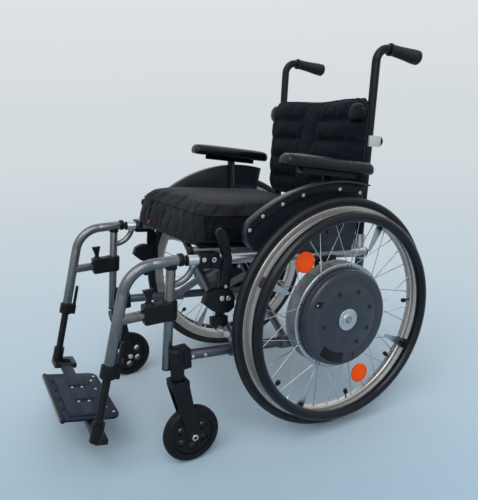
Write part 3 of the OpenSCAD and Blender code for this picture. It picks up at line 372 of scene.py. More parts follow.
def cast_piece(node, body, finish, voxel, rounds):
    # The same with its edges rounded off all over
    return both_sides(moulded("left_" + node, voxel, rounds), body, finish, node)


# Finishes

def lin(code):
    parts = [int(code[i:i + 2], 16) / 255 for i in (1, 3, 5)]
    return [c / 12.92 if c <= 0.04045 else ((c + 0.055) / 1.055) ** 2.4 for c in parts] + [1.0]


class Wiring:
    # Adds nodes to a tree and links them
    def __init__(self, tree):
        self.tree = tree

    def node(self, kind, values=None, **settings):
        made = self.tree.nodes.new(kind)
        for key, value in settings.items():
            setattr(made, key, value)
        for key, value in (values or {}).items():
            if isinstance(value, bpy.types.NodeSocket):
                self.tree.links.new(value, made.inputs[key])
            else:
                made.inputs[key].default_value = value
        return made

    def math(self, operation, a, b=0.0):
        return self.node("ShaderNodeMath", {0: a, 1: b}, operation=operation).outputs[0]

    def remap(self, value, low, high, to_low=0.0, to_high=1.0):
        values = {0: value, 1: low, 2: high, 3: to_low, 4: to_high}
        return self.node("ShaderNodeMapRange", values).outputs[0]

    def mix(self, mask, a, b):
        return self.node("ShaderNodeMix", {0: mask, 6: a, 7: b}, data_type="RGBA").outputs[2]

    def group(self, tree, values):
        return self.node("ShaderNodeGroup", values, node_tree=tree).outputs

    def link(self, value, socket):
        self.tree.links.new(value, socket)

    def relief(self, shader, strength, distance, height):
        made = self.node("ShaderNodeBump", {"Strength": strength, "Distance": distance, "Height": height})
        self.link(made.outputs[0], shader.inputs["Normal"])

    def seen(self):
        # One for rays that show the backdrop as it is, none for its light
        path = self.node("ShaderNodeLightPath").outputs
        mirrored = self.math("MAXIMUM", path["Is Camera Ray"], path["Is Glossy Ray"])
        return self.math("MAXIMUM", mirrored, path["Is Transmission Ray"])


def field_group(name, inputs, outputs):
    tree = bpy.data.node_groups.new(name, "ShaderNodeTree")
    for label, kind, value in inputs:
        socket = tree.interface.new_socket(label, in_out="INPUT", socket_type=kind)
        if value is not None:
            socket.default_value = value
    for label in outputs:
        tree.interface.new_socket(label, in_out="OUTPUT", socket_type="NodeSocketFloat")
    w = Wiring(tree)
    return tree, w, w.node("NodeGroupInput").outputs, w.node("NodeGroupOutput")


VECTOR, FLOAT = "NodeSocketVector", "NodeSocketFloat"

# Moulded or coated skin: a soft cloudy tint, and a fine pebbled height
skin_field, w, i, o = field_group("skin_field", [("Place", VECTOR, None), ("Grain", FLOAT, 900.0)],
                                  ["Tint", "Height"])
cloud = w.node("ShaderNodeTexNoise", {"Vector": i["Place"], "Scale": 9.0, "Detail": 4.0, "Roughness": 0.6})
fine = w.node("ShaderNodeTexNoise", {"Vector": i["Place"], "Scale": i["Grain"], "Detail": 2.0})
w.link(w.remap(cloud.outputs[0], 0.3, 0.7), o.inputs["Tint"])
w.link(fine.outputs[0], o.inputs["Height"])

# Handling marks: scuffs and thin scratches as a mask
scuff_field, w, i, o = field_group("scuff_field", [("Place", VECTOR, None), ("Cover", FLOAT, 0.4)],
                                   ["Mask"])
patch = w.node("ShaderNodeTexNoise", {"Vector": i["Place"], "Scale": 14.0, "Detail": 6.0, "Roughness": 0.7})
turn = w.node("ShaderNodeMapping", {"Vector": i["Place"], "Rotation": (0.5, 0.3, 0.9),
                                    "Scale": (1.0, 14.0, 3.0)})
thin = w.node("ShaderNodeTexNoise", {"Vector": turn.outputs[0], "Scale": 60.0, "Detail": 3.0})
mark = w.remap(patch.outputs[0], 0.55, 0.8)
line = w.remap(thin.outputs[0], 0.64, 0.74)
both = w.math("MAXIMUM", w.math("MULTIPLY", mark, 0.7),
              w.math("MULTIPLY", line, w.remap(patch.outputs[0], 0.4, 0.65)))
w.link(w.math("MULTIPLY", both, i["Cover"]), o.inputs["Mask"])

# Floor dust: a mask that is stronger near the floor
dust_field, w, i, o = field_group("dust_field", [("Place", VECTOR, None), ("Reach", FLOAT, 0.5)], ["Mask"])
split = w.node("ShaderNodeSeparateXYZ", {0: i["Place"]})
low = w.math("SUBTRACT", 1.0, w.math("DIVIDE", split.outputs[2], i["Reach"]))
speck = w.node("ShaderNodeTexNoise", {"Vector": i["Place"], "Scale": 38.0, "Detail": 6.0, "Roughness": 0.7})
w.link(w.math("MULTIPLY", w.remap(low, 0.0, 1.0), w.remap(speck.outputs[0], 0.4, 0.75)), o.inputs["Mask"])

# Drawn or brushed metal: fine streaks along one way, as tint and height
STREAK_INPUTS = [("Place", VECTOR, None), ("Along", VECTOR, (1.0, 1.0, 1.0))]
streak_field, w, i, o = field_group("streak_field", STREAK_INPUTS, ["Tint", "Height"])
pull = w.node("ShaderNodeVectorMath", {0: i["Place"], 1: i["Along"]}, operation="MULTIPLY")
hair = w.node("ShaderNodeTexNoise", {"Vector": pull.outputs[0], "Scale": 90.0, "Detail": 4.0,
                                     "Roughness": 0.65})
broad = w.node("ShaderNodeTexNoise", {"Vector": i["Place"], "Scale": 12.0, "Detail": 3.0})
w.link(w.math("ADD", w.math("MULTIPLY", hair.outputs[0], 0.5), w.math("MULTIPLY", broad.outputs[0], 0.5)),
       o.inputs["Tint"])
w.link(hair.outputs[0], o.inputs["Height"])

# Plain woven cloth on the piece's own map: over and under threads as height, and a thread tint
weave_field, w, i, o = field_group("weave_field", [("Map", VECTOR, None), ("Threads", FLOAT, 900.0)],
                                   ["Tint", "Height"])
size = w.node("ShaderNodeVectorMath", {0: i["Map"], "Scale": i["Threads"]}, operation="SCALE")
axes = w.node("ShaderNodeSeparateXYZ", {0: size.outputs[0]})
warp = w.math("ABSOLUTE", w.math("SINE", w.math("MULTIPLY", axes.outputs[0], math.pi)))
weft = w.math("ABSOLUTE", w.math("SINE", w.math("MULTIPLY", axes.outputs[1], math.pi)))
check = w.node("ShaderNodeTexChecker", {"Vector": size.outputs[0], "Scale": 1.0, "Color1": (1, 1, 1, 1),
                                        "Color2": (0, 0, 0, 1)})
lift = w.node("ShaderNodeMix", {0: check.outputs[1], 2: warp, 3: weft}, data_type="FLOAT")
yarn = w.node("ShaderNodeTexNoise", {"Vector": i["Map"], "Scale": 130.0, "Detail": 5.0})
w.link(w.math("MULTIPLY", w.remap(yarn.outputs[0], 0.3, 0.75), w.math("ADD", lift.outputs[0], 0.35)),
       o.inputs["Tint"])
w.link(lift.outputs[0], o.inputs["Height"])

# Open spacer mesh on the piece's own map: rows of small holes
mesh_field, w, i, o = field_group("mesh_field", [("Map", VECTOR, None), ("Holes", FLOAT, 330.0)],
                                  ["Tint", "Height"])
size = w.node("ShaderNodeVectorMath", {0: i["Map"], "Scale": i["Holes"]}, operation="SCALE")
cell = w.node("ShaderNodeTexVoronoi", {"Vector": size.outputs[0], "Scale": 1.0, "Randomness": 0.12},
              voronoi_dimensions="2D")
open_hole = w.remap(cell.outputs[0], 0.18, 0.42)
cloudy = w.node("ShaderNodeTexNoise", {"Vector": i["Map"], "Scale": 25.0, "Detail": 4.0})
w.link(w.math("MULTIPLY", open_hole, w.remap(cloudy.outputs[0], 0.2, 0.8, 0.55, 1.0)), o.inputs["Tint"])
w.link(open_hole, o.inputs["Height"])


def new_finish(name, rough, metal=0.0, **constants):
    mat = bpy.data.materials.new(name)
    mat.use_nodes = True
    mat.node_tree.nodes.clear()
    w = Wiring(mat.node_tree)
    shader = w.node("ShaderNodeBsdfPrincipled", {"Roughness": rough, "Metallic": metal})
    for key, value in constants.items():
        shader.inputs[key.replace("_", " ")].default_value = value
    w.node("ShaderNodeOutputMaterial", {"Surface": shader.outputs[0]})
    return mat, w, shader, w.node("ShaderNodeTexCoord").outputs


def coated(name, dark, light, rough, grain, bump, scuff, worn="#6d6f72", dust=0.0, **constants):
    # Plastic, rubber or powder coat: cloudy tint, pebbled bump, scuffs and some floor dust
    mat, w, shader, coords = new_finish(name, rough, **constants)
    place = coords["Object"]
    skin = w.group(skin_field, {"Place": place, "Grain": grain})
    scuffs = w.group(scuff_field, {"Place": place, "Cover": scuff})["Mask"]
    colour = w.mix(skin["Tint"], lin(dark), lin(light))
    colour = w.mix(w.math("MULTIPLY", scuffs, 0.6), colour, lin(worn))
    if dust:
        powder = w.group(dust_field, {"Place": place, "Reach": 0.55})["Mask"]
        colour = w.mix(w.math("MULTIPLY", powder, dust), colour, lin("#8f8a82"))
    w.link(colour, shader.inputs["Base Color"])
    shine = w.remap(skin["Tint"], 0.0, 1.0, rough - 0.06, rough + 0.06)
    w.link(w.math("ADD", shine, w.math("MULTIPLY", scuffs, 0.2)), shader.inputs["Roughness"])
    w.relief(shader, bump, 0.0006, skin["Height"])
    return mat


def metal_finish(name, dark, light, rough, along=(1.0, 1.0, 1.0), bump=0.04, scuff=0.2, metal=1.0):
    # Bare, brushed or painted metal: streaked tint and shine, with bright scuffs
    mat, w, shader, coords = new_finish(name, rough, metal)
    place = coords["Object"]
    streak = w.group(streak_field, {"Place": place, "Along": along})
    scuffs = w.group(scuff_field, {"Place": place, "Cover": scuff})["Mask"]
    colour = w.mix(w.remap(streak["Tint"], 0.3, 0.7), lin(dark), lin(light))
    w.link(w.mix(w.math("MULTIPLY", scuffs, 0.5), colour, lin("#e3e4e5")), shader.inputs["Base Color"])
    shine = w.remap(streak["Tint"], 0.3, 0.7, rough + 0.07, rough - 0.05)
    w.link(w.math("ADD", shine, w.math("MULTIPLY", scuffs, 0.12)), shader.inputs["Roughness"])
    w.relief(shader, bump, 0.0004, streak["Height"])
    return mat


def cloth(name, dark, light, field, count, rough, bump, lint=0.15, **constants):
    # Woven cover or spacer mesh on the piece's own map, with faint lint
    mat, w, shader, coords = new_finish(name, rough, **constants)
    key = "Threads" if field is weave_field else "Holes"
    threads = w.group(field, {"Map": coords["UV"], key: count})
    scuffs = w.group(scuff_field, {"Place": coords["Object"], "Cover": lint})["Mask"]
    colour = w.mix(threads["Tint"], lin(dark), lin(light))
    w.link(w.mix(w.math("MULTIPLY", scuffs, 0.5), colour, lin("#77797e")), shader.inputs["Base Color"])
    w.link(w.remap(threads["Tint"], 0.0, 1.0, rough + 0.1, rough - 0.08), shader.inputs["Roughness"])
    w.relief(shader, bump, 0.0005, threads["Height"])
    return mat


def reflector_glow_finish():
    # Orange lens with a fine prism pattern pressed in its back, and a painted glow: the lens gives off a
    # faint orange light of its own though it is no lamp
    mat, w, shader, coords = new_finish("reflector_glowing_lens", 0.3, Specular_IOR_Level=0.15, IOR=1.49)
    cell = w.node("ShaderNodeTexVoronoi", {"Vector": coords["Object"], "Scale": 420.0, "Randomness": 0.1})
    glow = w.remap(cell.outputs[0], 0.1, 0.6)
    w.link(w.mix(glow, lin("#fb5a10"), lin("#e84a0a")), shader.inputs["Base Color"])
    # Painted glow: an orange emission on the lens
    w.link(w.mix(glow, lin("#c8420a"), lin("#8e2c06")), shader.inputs["Emission Color"])
    shader.inputs["Emission Strength"].default_value = 0.45
    w.relief(shader, 0.15, 0.0005, cell.outputs[0])
    return mat


rail_silver = metal_finish("rail_silver_paint", "#a6abb0", "#c6cbcf", 0.3, (1.0, 0.08, 1.0), metal=0.85)
hanger_grey = metal_finish("hanger_grey_paint", "#636567", "#7e8081", 0.28, (1.0, 1.0, 0.1), metal=0.9)
# Dark blue-grey for the frame tubes below the top rail: painted shade that stands in for the shadow under
# the seat
lower_rail_shade_grey = metal_finish("lower_rail_painted_shade", "#40464e", "#555b63", 0.36, (1.0, 0.08, 1.0), metal=0.6,
                          scuff=0.15)
brace_grey = metal_finish("brace_grey_paint", "#5d6166", "#777b80", 0.4, metal=0.8)
powder_black = coated("powder_black", "#090b0f", "#10141a", 0.4, 1500.0, 0.12, 0.12, "#30343a", dust=0.02,
                      Specular_IOR_Level=0.2)
black_plastic = coated("black_plastic", "#07090c", "#0e1116", 0.4, 2200.0, 0.1, 0.12, "#2c3036", dust=0.02,
                       Specular_IOR_Level=0.2)
gloss_black = coated("gloss_black_plastic", "#060709", "#0b0c0f", 0.25, 600.0, 0.02, 0.1, "#2a2c30",
                     Specular_IOR_Level=0.25)
tyre_rubber = coated("tyre_rubber", "#090b10", "#11141b", 0.5, 700.0, 0.2, 0.2, "#33353a", dust=0.05,
                     Specular_IOR_Level=0.35)
caster_rubber = coated("caster_tyre_rubber", "#05060a", "#0b0d12", 0.55, 700.0, 0.2, 0.15, "#26282c",
                       dust=0.02, Specular_IOR_Level=0.2)
grip_rubber = coated("grip_rubber", "#08090c", "#0f1115", 0.5, 1200.0, 0.25, 0.15, "#303338",
                     Specular_IOR_Level=0.3)
rim_alloy = metal_finish("rim_alloy", "#b3ada5", "#d3cec8", 0.32, scuff=0.3, metal=0.7)
bright_steel = metal_finish("bright_steel", "#b4b6b8", "#d6d8da", 0.22)
washer_alloy = metal_finish("washer_alloy", "#b6b9bb", "#d5d7d8", 0.3)
drum_alloy = metal_finish("drum_alloy", "#7a7e81", "#989c9f", 0.4, metal=0.6, bump=0.08)
ring_alloy = metal_finish("flange_alloy", "#9ba1a6", "#bfc4c8", 0.28, metal=0.85)
cover_slate = coated("cover_slate_plastic", "#2a2d34", "#33373f", 0.3, 1600.0, 0.06, 0.15, "#50565f",
                     Coat_Weight=0.12, Specular_IOR_Level=0.4)
handrim_coat = coated("handrim_blue_black_coat", "#070a10", "#0d121a", 0.26, 500.0, 0.06, 0.12, "#2a303a",
                      Specular_IOR_Level=0.3)
guard_plastic = coated("guard_plastic", "#151a21", "#1f252e", 0.3, 1100.0, 0.1, 0.2, "#42474f", dust=0.03,
                       Specular_IOR_Level=0.45)
pad_skin = coated("armrest_skin", "#06080c", "#0d1117", 0.24, 1300.0, 0.15, 0.1, "#2c3036",
                  Specular_IOR_Level=0.28)
vinyl_black = coated("vinyl_black", "#05070a", "#0b0e13", 0.3, 850.0, 0.15, 0.08, "#24282e",
                     Specular_IOR_Level=0.15)
clamp_grey = coated("clamp_grey_plastic", "#b4b6b3", "#cfd0cc", 0.5, 1500.0, 0.08, 0.3, "#8f918f")
plate_black = coated("plate_plastic", "#111b2b", "#1a273a", 0.5, 1000.0, 0.2, 0.2, "#3c4759", dust=0.02,
                     Specular_IOR_Level=0.18)
plate_inlay = coated("plate_grip_inlay", "#2b3140", "#383e4d", 0.7, 500.0, 0.3, 0.25, "#4c5567", dust=0.03,
                     Specular_IOR_Level=0.15)
plate_edge = coated("plate_worn_edge", "#6e675b", "#8b8273", 0.6, 700.0, 0.15, 0.4, "#b3a894")
pack_blue = coated("pack_shrink_wrap", "#27497d", "#3d68a8", 0.4, 700.0, 0.1, 0.1)
zip_red = coated("zip_pull_red", "#7c1a2a", "#a02438", 0.45, 900.0, 0.1, 0.2)
cover_cloth = cloth("cushion_cover_cloth", "#05070b", "#0e121a", weave_field, 700.0, 0.62, 0.35, 0.03,
                    Sheen_Weight=0.03, Sheen_Roughness=0.4, Specular_IOR_Level=0.2)
side_mesh = cloth("cushion_side_mesh", "#040508", "#0e1118", mesh_field, 300.0, 0.85, 0.5, 0.04,
                  Sheen_Weight=0.02, Sheen_Roughness=0.5, Specular_IOR_Level=0.1)
back_mesh = cloth("backrest_spacer_mesh", "#04060b", "#0f1422", mesh_field, 300.0, 0.78, 0.5, 0.03,
                  Sheen_Weight=0.02, Sheen_Roughness=0.5, Specular_IOR_Level=0.12)
sling_cloth = cloth("sling_nylon", "#07080b", "#0f1116", weave_field, 500.0, 0.65, 0.4,
                    Specular_IOR_Level=0.15)
piping_cloth = cloth("piping_cord", "#090b0f", "#141820", weave_field, 900.0, 0.6, 0.3,
                     Specular_IOR_Level=0.2)
reflector_glowing_lens = reflector_glow_finish()


# Shared small hardware, modelled once and copied

def bolt_head(d, h):
    return turned("bolt", [(0, 0.4 * h), (0.2 * d, 0.4 * h), (0.24 * d, 0.95 * h), (0.36 * d, h),
                           (0.46 * d, 0.82 * h), (0.5 * d, 0.4 * h), (0.5 * d, 0), (0, 0)], 20)


def hex_nut(d, h):
    obj = started("nut", bpy.ops.mesh.primitive_cylinder_add, vertices=6, radius=d / 2000, depth=h / 1000,
                  location=(0, 0, h / 2000))
    bpy.ops.object.transform_apply(location=True)
    pick_faces(obj, lambda c, n: n.z > 0.9)
    bpy.ops.mesh.inset(thickness=0.1 * d / 1000, depth=0.12 * h / 1000)
    bpy.ops.mesh.inset(thickness=0.1 * d / 1000, depth=0.0)
    bpy.ops.mesh.extrude_region_move(TRANSFORM_OT_translate={"value": (0, 0, 0.25 * h / 1000)})
    close_mesh()
    return ease_edges(obj, 0.06 * d, 2, 25)


def bolts(name, d, h, spots, body, finish, maker=bolt_head):
    # A set of bolt heads on a left piece and on its right twin
    return repeated(name, maker(d, h), spots, body, finish)


# Drive wheels

TREAD = [(0, 0), (8, 0), (9, -0.9), (12, -0.9), (13, 0), (25, 0), (26, -0.9), (29, -0.9), (30, 0), (42, 0),
         (56, 0), (70, 0), (74, 0), (76, -0.6), (80, -0.6), (82, 0), (96, 0), (112, 0), (130, 0)]
TYRE_MID, TYRE_R = 289, 10.9
half = [(TYRE_MID + (TYRE_R + dip) * math.cos(math.radians(a)), (TYRE_R + dip) * math.sin(math.radians(a)))
        for a, dip in TREAD]
tyre = turned("left_tyre_tread", half + [(278.4, 9.6), (278.4, -9.6)] + [(r, -h) for r, h in half[:0:-1]],
              144, True)
both_sides(seat(tyre, WHEEL_FACE), "wheel", tyre_rubber, "tyre")

RIM_IN = 249
RIM = [(RIM_IN, 6), (249.5, 7.2), (252, 8.8), (256, 10.7), (258, 11), (262.4, 11), (262.8, 10.6),
       (263.6, 10.6), (264, 11), (273.4, 11), (273.8, 10.5), (274.4, 10.5), (274.8, 11.2), (277, 11.2),
       (277.9, 10.2)]
rim = turned("left_rim_section", RIM + [(r, -h) for r, h in RIM[::-1]], 144, True)
both_sides(seat(rim, WHEEL_FACE), "wheel", rim_alloy, "rim")

spoke_ends = []
for side in (0, 1):
    for k in range(9):
        for way in (-1, 1):
            a = 8 + 40 * (k + side / 2) - 90
            hub = on_wheel(a + 3 * way, 137.8, (12, -25)[side])
            spoke_ends.append((on_wheel(a + 15 * way, 248.9, (3, -3)[side]), hub))
nipple = turned("nipple", [(0, -0.5), (2.4, -0.5), (2.4, 1.2), (1.9, 2), (1.9, 8), (1.5, 10), (1.15, 10.4),
                           (0, 10.4)], 10)
repeated("left_spoke_nipples", nipple, [facing(rim_end, hub - rim_end) for rim_end, hub in spoke_ends],
         "wheel", bright_steel)

spokes = loose_parts(cad_copy("left_spokes"))
lens_copies = [p for p in spokes if max(corners(p)[1] - corners(p)[0]) < 0.06]
spokes = [p for p in spokes if p not in lens_copies]
for part in lens_copies:
    bpy.data.objects.remove(part)
both_sides(join("left_spoke_set", *spokes), "wheel", bright_steel, "spokes")
lens = turned("lens", [(0, 7.9), (12, 7.8), (20, 7.4), (24, 6.4), (25.7, 4.8), (26, 3), (26, 0.8),
                       (25.4, 0), (0, 0)], 48)
repeated("left_reflectors", lens, [facing(on_wheel(a, 190, 11), OUT) for a in (124, -69)], "wheel",
         reflector_glowing_lens)


def off_rim(angle, out):
    # A frame on the rim's inner wall whose Z runs to the axle
    return facing(on_wheel(angle, RIM_IN, out), on_wheel(angle, 0, out) - on_wheel(angle, RIM_IN, out))


knob = turned("knob", [(0, 27), (3.6, 26.6), (5.6, 24.6), (6, 21), (5.6, 15.5), (4, 13.6), (2.2, 13),
                       (1.9, 12), (1.9, -0.4), (0, -0.4)], 18)
repeated("left_rim_stop_knobs", knob, [off_rim(a, 3) for a in (-2, -42, -82, -142, 148)], "wheel",
         black_plastic)
valve = turned("valve", [(0, 34), (1.6, 34), (2.6, 33), (2.6, 22), (3.2, 21.6), (3.2, 2), (4.6, 1.6),
                         (4.6, -0.4), (0, -0.4)], 14)
repeated("left_valve", valve, [off_rim(98, 0)], "wheel", gloss_black)

node_piece("motor_drum", "wheel", drum_alloy, 0.7)
ring = turned("left_flange_ring", [(125.2, 13.9), (125.2, 15.1), (126, 15.6), (134.4, 15.6), (135.8, 15.2),
                                   (136.6, 14.4), (136.6, 13.9)], 128, True)
both_sides(seat(ring, WHEEL_FACE), "wheel", ring_alloy)
# Small gloss black domes at the spoke holes on the flange's face: painted shade that stands in for the dark
# holes
hole_shade = turned("hole_shade", [(0, 0.8), (1.5, 0.7), (2.3, 0.2), (2.4, -0.5), (0, -0.5)], 12)
places = [facing(on_wheel(a - 82 + way, 131, 15.6), OUT) for a in range(0, 360, 40) for way in (-2.6, 2.6)]
repeated("left_spoke_heads", hole_shade, places, "wheel", gloss_black)
fin = block("fin", (2.4, 2.0, 30), 0.7, 2)
places = [facing(on_wheel(a, 131.2, -6.5), OUT, math.radians(a)) for a in range(0, 360, 24)]
repeated("left_drum_seams", fin, places, "wheel", drum_alloy)

node_piece("battery_cover", "wheel", cover_slate, 0.5)
mark = turned("mark", [(0, 0.25), (2.6, 0.25), (3, -0.4), (4.2, -0.4), (4.6, 0.5), (5.8, 0.5), (6.3, 0.1),
                       (6.3, -1), (0, -1)], 24)
places = [facing(on_wheel(a, 73, 43), OUT) for a in (109, 15, -30, -65, -175, 62)]
repeated("left_cover_screws", mark, places, "wheel", black_plastic)


def cover_patch(name, spots, thick, ease, finish):
    # A flat patch on the cover's face through corners given as (radius, angle)
    obj = started(name, bpy.ops.mesh.primitive_circle_add, vertices=len(spots), radius=0.01,
                  fill_type="NGON")
    for vertex, (r, a) in zip(obj.data.vertices, spots):
        vertex.co = on_wheel(a, r, 42.6)
    open_mesh(obj, "FACE")
    bpy.ops.mesh.extrude_region_move(TRANSFORM_OT_translate={"value": (thick / 1000, 0, 0)})
    close_mesh()
    merge_and_turn_out(obj)
    ease_edges(obj, ease, 3, 25)
    return both_sides(obj, "wheel", finish)


window = [(88, a) for a in range(-142, -96, 5)] + [(113, a) for a in range(-98, -141, -5)]
cover_patch("left_latch_window", window, 1.6, 0.7, gloss_black)
cover_patch("left_switch_notch", [(93, 141), (93, 151), (112, 153), (112, 145)], 1.2, 0.5, gloss_black)
bolts("left_switch_pin", 6, 1.6, [facing(on_wheel(149, 107, 43.8), OUT)], "wheel", bright_steel)

node_piece("motor_axle", "side", washer_alloy, 0.5)
node_piece("release_button", "release_button", ring_alloy, 0.6)
hub_ring = turned("left_axle_end_ring", [(5.2, -0.4), (5.2, 0.3), (6, 1.1), (8.8, 1.1), (9.6, 0.4),
                                         (9.6, -0.4)], 40, True)
both_sides(seat(hub_ring, facing(on_wheel(0, 0, HUB_END), OUT)), "side", drum_alloy)
node_piece("handrim", "handrim", handrim_coat, 1.2)
leaf = block("leaf", (76, 26, 2.6), 1.0)
pick_faces(leaf, lambda c, n: c.x < -0.02)
bpy.ops.transform.resize(value=(1, 0.3, 1), center_override=(0, 0, 0))
close_mesh()
LEAF_TURNS = (-30, 60, 150, 240)
upright = Matrix(((0, 0, 1, 0), (1, 0, 0, 0), (0, 1, 0, 0), (0, 0, 0, 1)))
places = [Matrix.Translation(on_wheel(a, 216, 14.6)) @ Matrix.Rotation(math.radians(a), 4, "X") @ upright
          for a in LEAF_TURNS]
repeated("left_handrim_leaves", leaf, places, "handrim", ring_alloy)
bolts("left_handrim_bolts", 9, 3, [facing(on_wheel(a, 243, 15.7), OUT) for a in LEAF_TURNS], "handrim",
      gloss_black)

# Casters

parts = loose_parts(cad_copy("left_caster_wheel", 0.8))
both_sides(parts[0], "caster_wheel", caster_rubber, "caster_wheel")
parts[0].name = "left_caster_tyre"
both_sides(join("left_caster_core", *parts[1:]), "caster_wheel", black_plastic)
seal = turned("seal", [(5.3, -0.5), (5.3, 0.6), (9.8, 0.9), (11.2, 0.5), (11.6, -0.5)], 32, True)
places = [facing(at(CASTER_X + s * 12, CASTER_Y, CASTER_R), OUT * s) for s in (-1, 1)]
repeated("left_caster_bearing_seals", seal, places, "caster_wheel", bright_steel)
cast_piece("caster_fork", "caster_fork", powder_black, 1.5, 10)
for name, s, maker in (("left_caster_axle_bolt", 1, bolt_head), ("left_caster_axle_nut", -1, hex_nut)):
    place = facing(at(CASTER_X + s * 22.4, CASTER_Y, CASTER_R), OUT * s)
    bolts(name, 17, 6, [place], "caster_fork", bright_steel, maker)
cast_piece("caster_housing", "side", powder_black, 1.6, 40)
bolts("left_housing_bolts", 10, 3.5, [facing(at(CASTER_X - 5, -408.4, z), OUT) for z in (245, 274)], "side",
      bright_steel)

# Side frames

LOWER_RAIL = -228
parts = loose_parts(cad_copy("left_side_frame", 0.6))
parts[0].name = "left_frame_tubes"
for tubes in both_sides(parts[0], "side", rail_silver, "side_frame"):
    tubes.data.materials.append(lower_rail_shade_grey)
    tubes.data.materials.append(hanger_grey)
    # Faces below the top rail take darker greys as painted shade under the seat: the front posts the hanger
    # grey and the rest the dark lower-rail grey; the top rail stays silver
    for face in tubes.data.polygons:
        spot = face.center - on_rail(0, 0, -13.5)
        face.material_index = (2 if spot.dot(RAIL_BACK) < 0.05 else 1) if spot.dot(RAIL_UP) < 0 else 0
both_sides(join("left_axle_plate", *parts[1:]), "side", powder_black)
places = [facing(at(251.6, y, z), OUT) for y, z in ((-47, 228), (47, 217), (-20, 428), (20, 424))]
bolts("left_axle_plate_bolts", 13, 5, places, "side", bright_steel)
bead = turned("bead", [(11.6, -2.6), (13.4, -1.2), (13.9, 0), (13.4, 1.2), (11.6, 2.6)], 32, True)
places = [facing(on_rail(FRAME_X, 545, above), RAIL_UP) for above in (-15, -214)]
repeated("left_frame_welds", bead, places, "side", rail_silver)
plug = turned("plug", [(0, -3), (9.5, -3), (11.8, -2), (12.6, -0.6), (12.6, 2.4), (11.9, 3), (0, 3)], 32)
places = [facing(on_rail(FRAME_X, u, 0), RAIL_BACK * way) for u, way in ((560, -1), (36, 1))]
repeated("left_rail_plugs", plug, places, "side", black_plastic)
mouth = turned("left_receiver_mouth", [(9.7, -8), (9.7, 0.8), (10.4, 1.6), (12.9, 1.6), (13.7, 0.8),
                                       (13.7, -7), (12.9, -8)], 40, True)
both_sides(seat(mouth, facing(on_rail(FRAME_X, 565, LOWER_RAIL), RAIL_BACK)), "side", black_plastic)
foot_plug = turned("left_post_plug", [(0, -2.4), (8.5, -2.4), (10.8, -1.4), (11.4, 0), (11.4, 2), (0, 2)],
                   28)
both_sides(seat(foot_plug, facing(on_rail(FRAME_X, 0, -255), RAIL_UP)), "side", black_plastic)
bolts("left_rail_bolts", 9, 3, [facing(on_rail(FRAME_X + 11.6, u, LOWER_RAIL), OUT) for u in (60, 92, 470)],
      "side", bright_steel)

# Hangers and footrest

node_piece("hanger", "hanger", hanger_grey, 0.5)
band = turned("band", [(12.6, -5.5), (14, -5.5), (14.8, -4.4), (14.8, 4.4), (14, 5.5), (12.6, 5.5)], 36,
              True)
collar = turned("collar", [(11.2, -5), (13, -5), (13.7, -4), (13.7, 4), (12.4, 5.6), (11.2, 5.6)], 36, True)
seat(band, facing(at(FRAME_X, -390, 492), BACK))
seat(collar, facing(on_rail(FRAME_X, 0, -12.8), RAIL_UP))
both_sides(join("left_hanger_bands", band, collar), "hanger", black_plastic)
cast_piece("hanger_latch", "hanger", black_plastic, 1.8, 45)
node_piece("latch_lever", "latch_lever", black_plastic, 3.0, 4)
cast_piece("foot_clamp", "hanger", black_plastic, 1.5, 10)
node_piece("clamp_lever", "clamp_lever", powder_black, 1.6, 3)
for tube in ("left_foot_tube", "right_foot_tube"):
    dress(cad_copy(tube, 2.2, 3), tube, powder_black, tube)
bolts("left_foot_block_bolts", 9, 3, [facing(on_leg(FRAME_X + 14.2, 0, d), OUT) for d in (130, 148)],
      "foot_tube", gloss_black)
dress(cad_copy("footplate", 1.4, 3), "footplate", plate_black, "footplate")

PLATE_FROM, PLATE_LONG = 65, 262


def tread_pad(name, long, wide, corner, spots):
    # A thin grip pad with round corners, laid on the plate at each (x, back, height of the plate there)
    pad = started("tread_pad", bpy.ops.mesh.primitive_circle_add, vertices=32, radius=corner / 1000,
                  fill_type="NGON")
    for axis, size in ((0, long), (1, wide)):
        bpy.ops.object.mode_set(mode="OBJECT")
        half = (size / 2 - corner) / 1000
        for sign in (-1, 1):
            for group in (pad.data.vertices, pad.data.edges, pad.data.polygons):
                group.foreach_set("select", np.zeros(len(group), bool))
            for v in pad.data.vertices:
                v.select = v.co[axis] * sign > 1e-7
            bpy.ops.object.mode_set(mode="EDIT")
            bpy.ops.mesh.select_mode(type="VERT")
            bpy.ops.transform.translate(value=[sign * half if k == axis else 0 for k in range(3)])
            bpy.ops.object.mode_set(mode="OBJECT")
    open_mesh(pad)
    bpy.ops.mesh.extrude_region_move(TRANSFORM_OT_translate={"value": (0, 0, 0.0012)})
    bpy.ops.mesh.inset(thickness=0.0006, depth=0.0003)
    close_mesh()
    merge_and_turn_out(pad)
    smooth(pad)
    lie = Matrix.Rotation(-TILT, 4, "X")
    return copies(pad, name, [Matrix.Translation(on_plate(x, back, high - 0.4)) @ lie
                              for x, back, high in spots])


TREADS = [PLATE_FROM + 15 + 33.7 + k * 82.3 for k in range(3)]
dress(tread_pad("footplate_front_grip", 206, 27, 12, [(TREADS[1], -38, 5)]), "footplate", plate_inlay)
dress(tread_pad("footplate_middle_grips", 60, 27, 3, [(x, -2, 5) for x in TREADS]), "footplate",
      plate_inlay)
dress(tread_pad("footplate_rear_grips", 50, 16, 3, [(x, 33, 3) for x in TREADS]), "footplate", plate_inlay)
spots = [(x, back, 2.9) for x in (TREADS[0] + 41.2, TREADS[1] + 41.2) for back in (-14, 12)]
spots += [(PLATE_FROM + f * PLATE_LONG, 45, 2.9) for f in (0.2, 0.4, 0.6, 0.8)]
spots += [(PLATE_FROM + f * PLATE_LONG, 58, 2.9) for f in (0.1, 0.9)]
places = [facing(on_plate(*spot), PLATE_UP) for spot in spots]
screws = copies(bolt_head(8, 1.6), "footplate_screws", places)
dress(screws, "footplate", washer_alloy)
